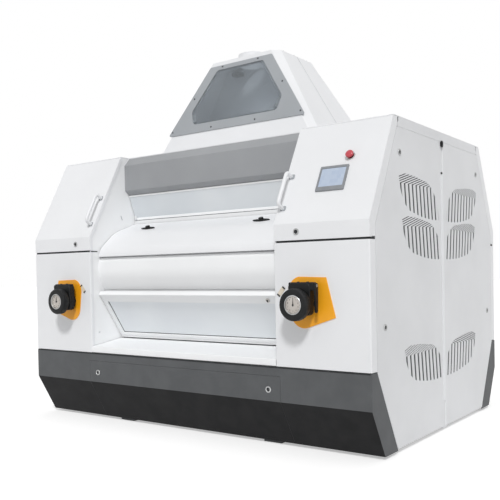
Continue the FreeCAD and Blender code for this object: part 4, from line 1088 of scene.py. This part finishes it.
def makeCheekFittings():
    f = smallFittings
    parts = []
    for side, end in corners:
        place = cornerMatrix(side, end)
        slot = roundedBlock(f["slotWidth"], f["slotLength"], 0.0008, 0.0018, 0.0002, 0.0002)
        lean = Matrix.Rotation(f["slotLean"] - math.pi / 2, 4, "Z")
        parts.append((slot, place @ cheekFrame(*f["slot"]) @ lean, 0))
        plug = turned([(f["plugRadius"], 0.0002), (f["plugRadius"], 0.0012),
                       (f["plugRadius"] * 0.7, 0.0020), (0.0003, 0.0020)], 24)
        parts.append((plug, place @ cheekFrame(*f["plug"]), 1))
    addJoined("cheekFittings", parts, ["bezel", "pale"], "frame")


def makePostLatches():
    f = smallFittings
    parts = []
    for end in ends:
        place = cornerMatrix("front", end) @ sideFrame(0, f["latchZ"])
        parts.append((roundedBlock(0.016, 0.020, 0.0045, 0.002, 0.0006, -0.0038), place, 0))
        parts.append((roundedBlock(f["latchWidth"], f["latchHeight"], 0.004, 0.003, 0.0008, 0.0005),
                      place, 0))
        parts.append((roundedBlock(0.006, 0.018, 0.004, 0.002, 0.0006, 0.0044), place, 1))
        r = f["buttonRadius"]
        button = turned([(r, -0.0038), (r, 0.001), (r * 0.7, 0.0022), (0.0003, 0.0022)], 24)
        parts.append((button, cornerMatrix("front", end) @ sideFrame(0, f["buttonZ"]), 0))
    addJoined("postLatches", parts, ["nylon", "blackened"], "frame")


hopperFace = {"lowX": 0.541, "topX": 0.232, "lowZ": 1.414, "topZ": 1.925}
levelSensor = {
    "x": -0.150, "y": -0.0025, "boxZ": 1.892, "plugZ": 1.888,
    "width": 0.060, "height": 0.024, "depth": 0.036,
}


# frame on the sloping right flank of the hopper, X towards the rear and Y up the slope
def flankFrame(y, up):
    h = hopperFace
    run = Vector((h["topX"] - h["lowX"], 0, h["topZ"] - h["lowZ"])).normalized()
    foot = Vector((h["lowX"], y, h["lowZ"]))
    return axes(foot + run * up, alongY, run, Vector((run.z, 0, -run.x)))


def makeHopperFittings():
    f, h = smallFittings, hopperFace
    length = math.hypot(h["lowX"] - h["topX"], h["topZ"] - h["lowZ"])
    parts = []
    for end in ends:
        place = cornerMatrix("front", end)
        seam = roundedBlock(f["seamWidth"], length - 0.006, f["seamSheet"], 0.0008, 0.0002, 0.0001)
        parts.append((seam, place @ flankFrame(0, length / 2), 0))
        for y in (-0.116, -0.013, 0.116):
            head = turned([(0.0065, 0.0001), (0.0065, 0.0048), (0.005, 0.0058), (0.003, 0.0058),
                           (0.003, 0.003), (0.0003, 0.003)], 6)
            parts.append((head, place @ Matrix.Translation((h["topX"] - 0.012, y, h["topZ"])), 1))
    addJoined("hopperSeams", parts, ["bezel", "nickel"], "frame")
    n = levelSensor
    box = roundedBlock(n["width"], n["height"], n["depth"], 0.006, 0.0015, 0.0)
    plug = turned([(0.008, 0.0361), (0.008, 0.055), (0.006, 0.058), (0.0003, 0.058)], 24)
    sensor = [(box, frontFrame(n["x"], n["boxZ"], n["y"]), 0),
              (plug, frontFrame(n["x"], n["plugZ"], n["y"]), 0)]
    addJoined("levelSensor", sensor, "nylon", "frame")


# pale strips held between the cheeks, that close the gaps under the window and round the cover
closingStrips = {
    "halfLength": 0.5832, "sheet": 0.004,
    "edges": [(-0.428, 1.030, 1.070), (-0.664, 0.672, 0.6903)],       # (Y, low, high)
    "hinge": (-0.692, 0.877), "coveRadius": 0.0185, "coveBase": 0.8518, "coveTop": 0.890,
    "coveBack": -0.660, "coveLean": 6.0,
    "doorSeam": (1.3666, 1.3692), "doorDepth": (1.010, 1.0286), "doorHalf": 0.486,
    "baseSeam": (0.3588, 0.3662), "baseHalf": 1.024, "baseFace": -0.7630,
    "cheekSeam": (0.8914, 0.8968), "cheekRun": (-0.7535, -0.709), "cheekFace": 0.5833,
}


# hollow moulding under the hinge of the roll guard, clear of the circle that its lip sweeps
def coveBm():
    c = closingStrips
    y0, z0 = c["hinge"]
    outline = []
    for k in range(13):
        angle = math.radians(-90 + c["coveLean"] + (90 - c["coveLean"]) * k / 12)
        outline.append((y0 + c["coveRadius"] * math.cos(angle), z0 + c["coveRadius"] * math.sin(angle)))
    outline += [(outline[-1][0], c["coveTop"]), (c["coveBack"], c["coveTop"]),
                (c["coveBack"], c["coveBase"]), (outline[0][0], c["coveBase"])]
    return lofted([[Vector((x, y, z)) for y, z in outline]
                   for x in (-c["halfLength"], c["halfLength"])])


def makeClosingStrips():
    c = closingStrips
    parts = []
    for side in sides:
        for y, low, high in c["edges"]:
            strip = roundedBlock(2 * c["halfLength"], high - low, c["sheet"], 0.001, 0.0003)
            at = frontFrame(0, (low + high) / 2, y + c["sheet"])
            parts.append((strip, cornerMatrix(side, "right") @ at, 0))
        parts.append((coveBm(), cornerMatrix(side, "right"), 0))
    low, high = c["doorSeam"]
    near, far = c["doorDepth"]
    for end in ends:
        seal = roundedBlock(far - near, 2 * c["doorHalf"], high - low, 0.0006, 0.0003, low,
                            ((near + far) / 2, 0))
        parts.append((seal, cornerMatrix("front", end), 0))
    addJoined("closingStrips", parts, "bright", "frame")
    # dark strips on the base seam and along the lid's edge on the cheeks: painted shade of the gaps
    seamShades = []
    low, high = c["baseSeam"]
    for side in sides:
        seamShades.append((roundedBlock(2 * c["baseHalf"], high - low, 0.0008, 0.0003, 0.0001),
                      cornerMatrix(side, "right") @ frontFrame(0, (low + high) / 2, c["baseFace"]), 0))
    low, high = c["cheekSeam"]
    near, far = c["cheekRun"]
    for side, end in corners:
        at = axes(Vector((c["cheekFace"], (near + far) / 2, (low + high) / 2)), toFront, alongZ,
                  toMiddle)
        seamShades.append((roundedBlock(far - near, high - low, 0.0004, 0.0003, 0.0001, 0),
                      cornerMatrix(side, end) @ at, 1))
    addJoined("seamLines", seamShades, ["rubber", "felt"], "frame")


windowEnd = {"x": 0.570, "z": 1.084, "y": -0.4315, "width": 0.014, "height": 0.022, "depth": 0.005}


def makeWindowEnds():
    e = windowEnd
    for side in sides:
        parts = []
        for end in ends:
            block = roundedBlock(e["width"], e["height"], e["depth"], 0.002, 0.0006, 0.0)
            parts.append((block, cornerMatrix(side, end) @ frontFrame(e["x"], e["z"], e["y"]), 0))
        addJoined(side + "_window_ends", parts, "pale", side + "_feed_window")


makeHandles()
makeFlapTrim()
makeCheekFittings()
makePostLatches()
makeHopperFittings()
makeWindowEnds()
makeClosingStrips()
makeScreen()
makeStopButton()
makeHandwheels()
makeClamps()
makeLevers()
makeKnobs()
makeLocks()
makeScrews()
makeVentLinings()
makeLidSeals()
makeScaleLabels()
print("controls and fittings done")


# Camera, floor and lights

shot = {
    "lens": 51.18,
    "place": (2.283, -3.266, 0.771),
    "yaw": 36.207,
    "pitch": -1.046,
    "roll": -1.093,
    "shiftY": 0.07,
}


def makeCamera():
    yaw, pitch, roll = (math.radians(shot[k]) for k in ("yaw", "pitch", "roll"))
    forward = Vector((-math.sin(yaw) * math.cos(pitch), math.cos(yaw) * math.cos(pitch),
                      math.sin(pitch)))
    right = Vector((math.cos(yaw), math.sin(yaw), 0))
    up = right.cross(forward)
    turnedRight = math.cos(roll) * right + math.sin(roll) * up
    turnedUp = -math.sin(roll) * right + math.cos(roll) * up
    data = bpy.data.cameras.new("camera")
    data.lens = shot["lens"]
    data.shift_y = shot["shiftY"]
    camera = newObject("camera", data)
    camera.matrix_world = axes(Vector(shot["place"]), turnedRight, turnedUp, -forward)
    bpy.context.scene.camera = camera


studio = {
    "sky": 0.47,          # light that the white surround gives
    "key": 1.72,          # main lamp, high on the right of the camera
    "keySoftness": 9.0,
    "keyFrom": (0.39, -0.61, 0.69),
    "floor": "#E6E6E6",
    "floorLift": 0.42,    # brings the floor up to white for the camera
    "hopperGlow": 1.0,    # stands for the daylight that the two panes let into the hopper
    "hopperPlace": (0.0, -0.16, 1.62),
}


# 1 for rays from the camera and for mirrored and transmitted ones
def seenDirectly(tree):
    rays = addNode(tree, "ShaderNodeLightPath")
    either = addNode(tree, "ShaderNodeMath", links={0: rays.outputs["Is Camera Ray"],
                                                    1: rays.outputs["Is Glossy Ray"]},
                     operation="MAXIMUM")
    return addNode(tree, "ShaderNodeMath", links={0: either.outputs[0],
                                                  1: rays.outputs["Is Transmission Ray"]},
                   operation="MAXIMUM").outputs[0]


def makeStudio():
    world = bpy.data.worlds.new("studio")
    world.use_nodes = True
    tree = world.node_tree
    tree.nodes.clear()
    level = addNode(tree, "ShaderNodeMapRange", {"To Min": studio["sky"], "To Max": 1.0},
                    {"Value": seenDirectly(tree)})
    back = addNode(tree, "ShaderNodeBackground", {"Color": (1, 1, 1, 1)},
                   {"Strength": level.outputs[0]})
    addNode(tree, "ShaderNodeOutputWorld", links={"Surface": back.outputs[0]})
    bpy.context.scene.world = world
    bm = bmesh.new()
    bmesh.ops.create_grid(bm, x_segments=1, y_segments=1, size=40)
    ground = newObject("studioFloor", meshFromBm("studioFloor", bm))
    material, tree = newFinish("studioFloorPaper")
    matt = addNode(tree, "ShaderNodeBsdfDiffuse", {"Color": hexColour(studio["floor"])})
    amount = addNode(tree, "ShaderNodeMath", {1: studio["floorLift"]}, {0: seenDirectly(tree)},
                     operation="MULTIPLY")
    lift = addNode(tree, "ShaderNodeEmission", links={"Strength": amount.outputs[0]})
    total = addNode(tree, "ShaderNodeAddShader", links={0: matt.outputs[0], 1: lift.outputs[0]})
    addNode(tree, "ShaderNodeOutputMaterial", links={"Surface": total.outputs[0]})
    ground.data.materials.append(material)
    lamp = bpy.data.lights.new("key", "SUN")
    lamp.energy = studio["key"]
    lamp.angle = math.radians(studio["keySoftness"])
    key = newObject("key", lamp)
    key.rotation_euler = Vector(studio["keyFrom"]).to_track_quat("Z", "Y").to_euler()
    glow = bpy.data.lights.new("hopperGlow", "POINT")
    glow.energy = studio["hopperGlow"]
    glow.shadow_soft_size = 0.08
    inside = newObject("hopperGlow", glow)
    inside.location = studio["hopperPlace"]
    inside.visible_camera = inside.visible_glossy = inside.visible_transmission = False


makeCamera()
makeStudio()
bpy.context.scene.view_settings.view_transform = "Standard"
print("camera and studio set")
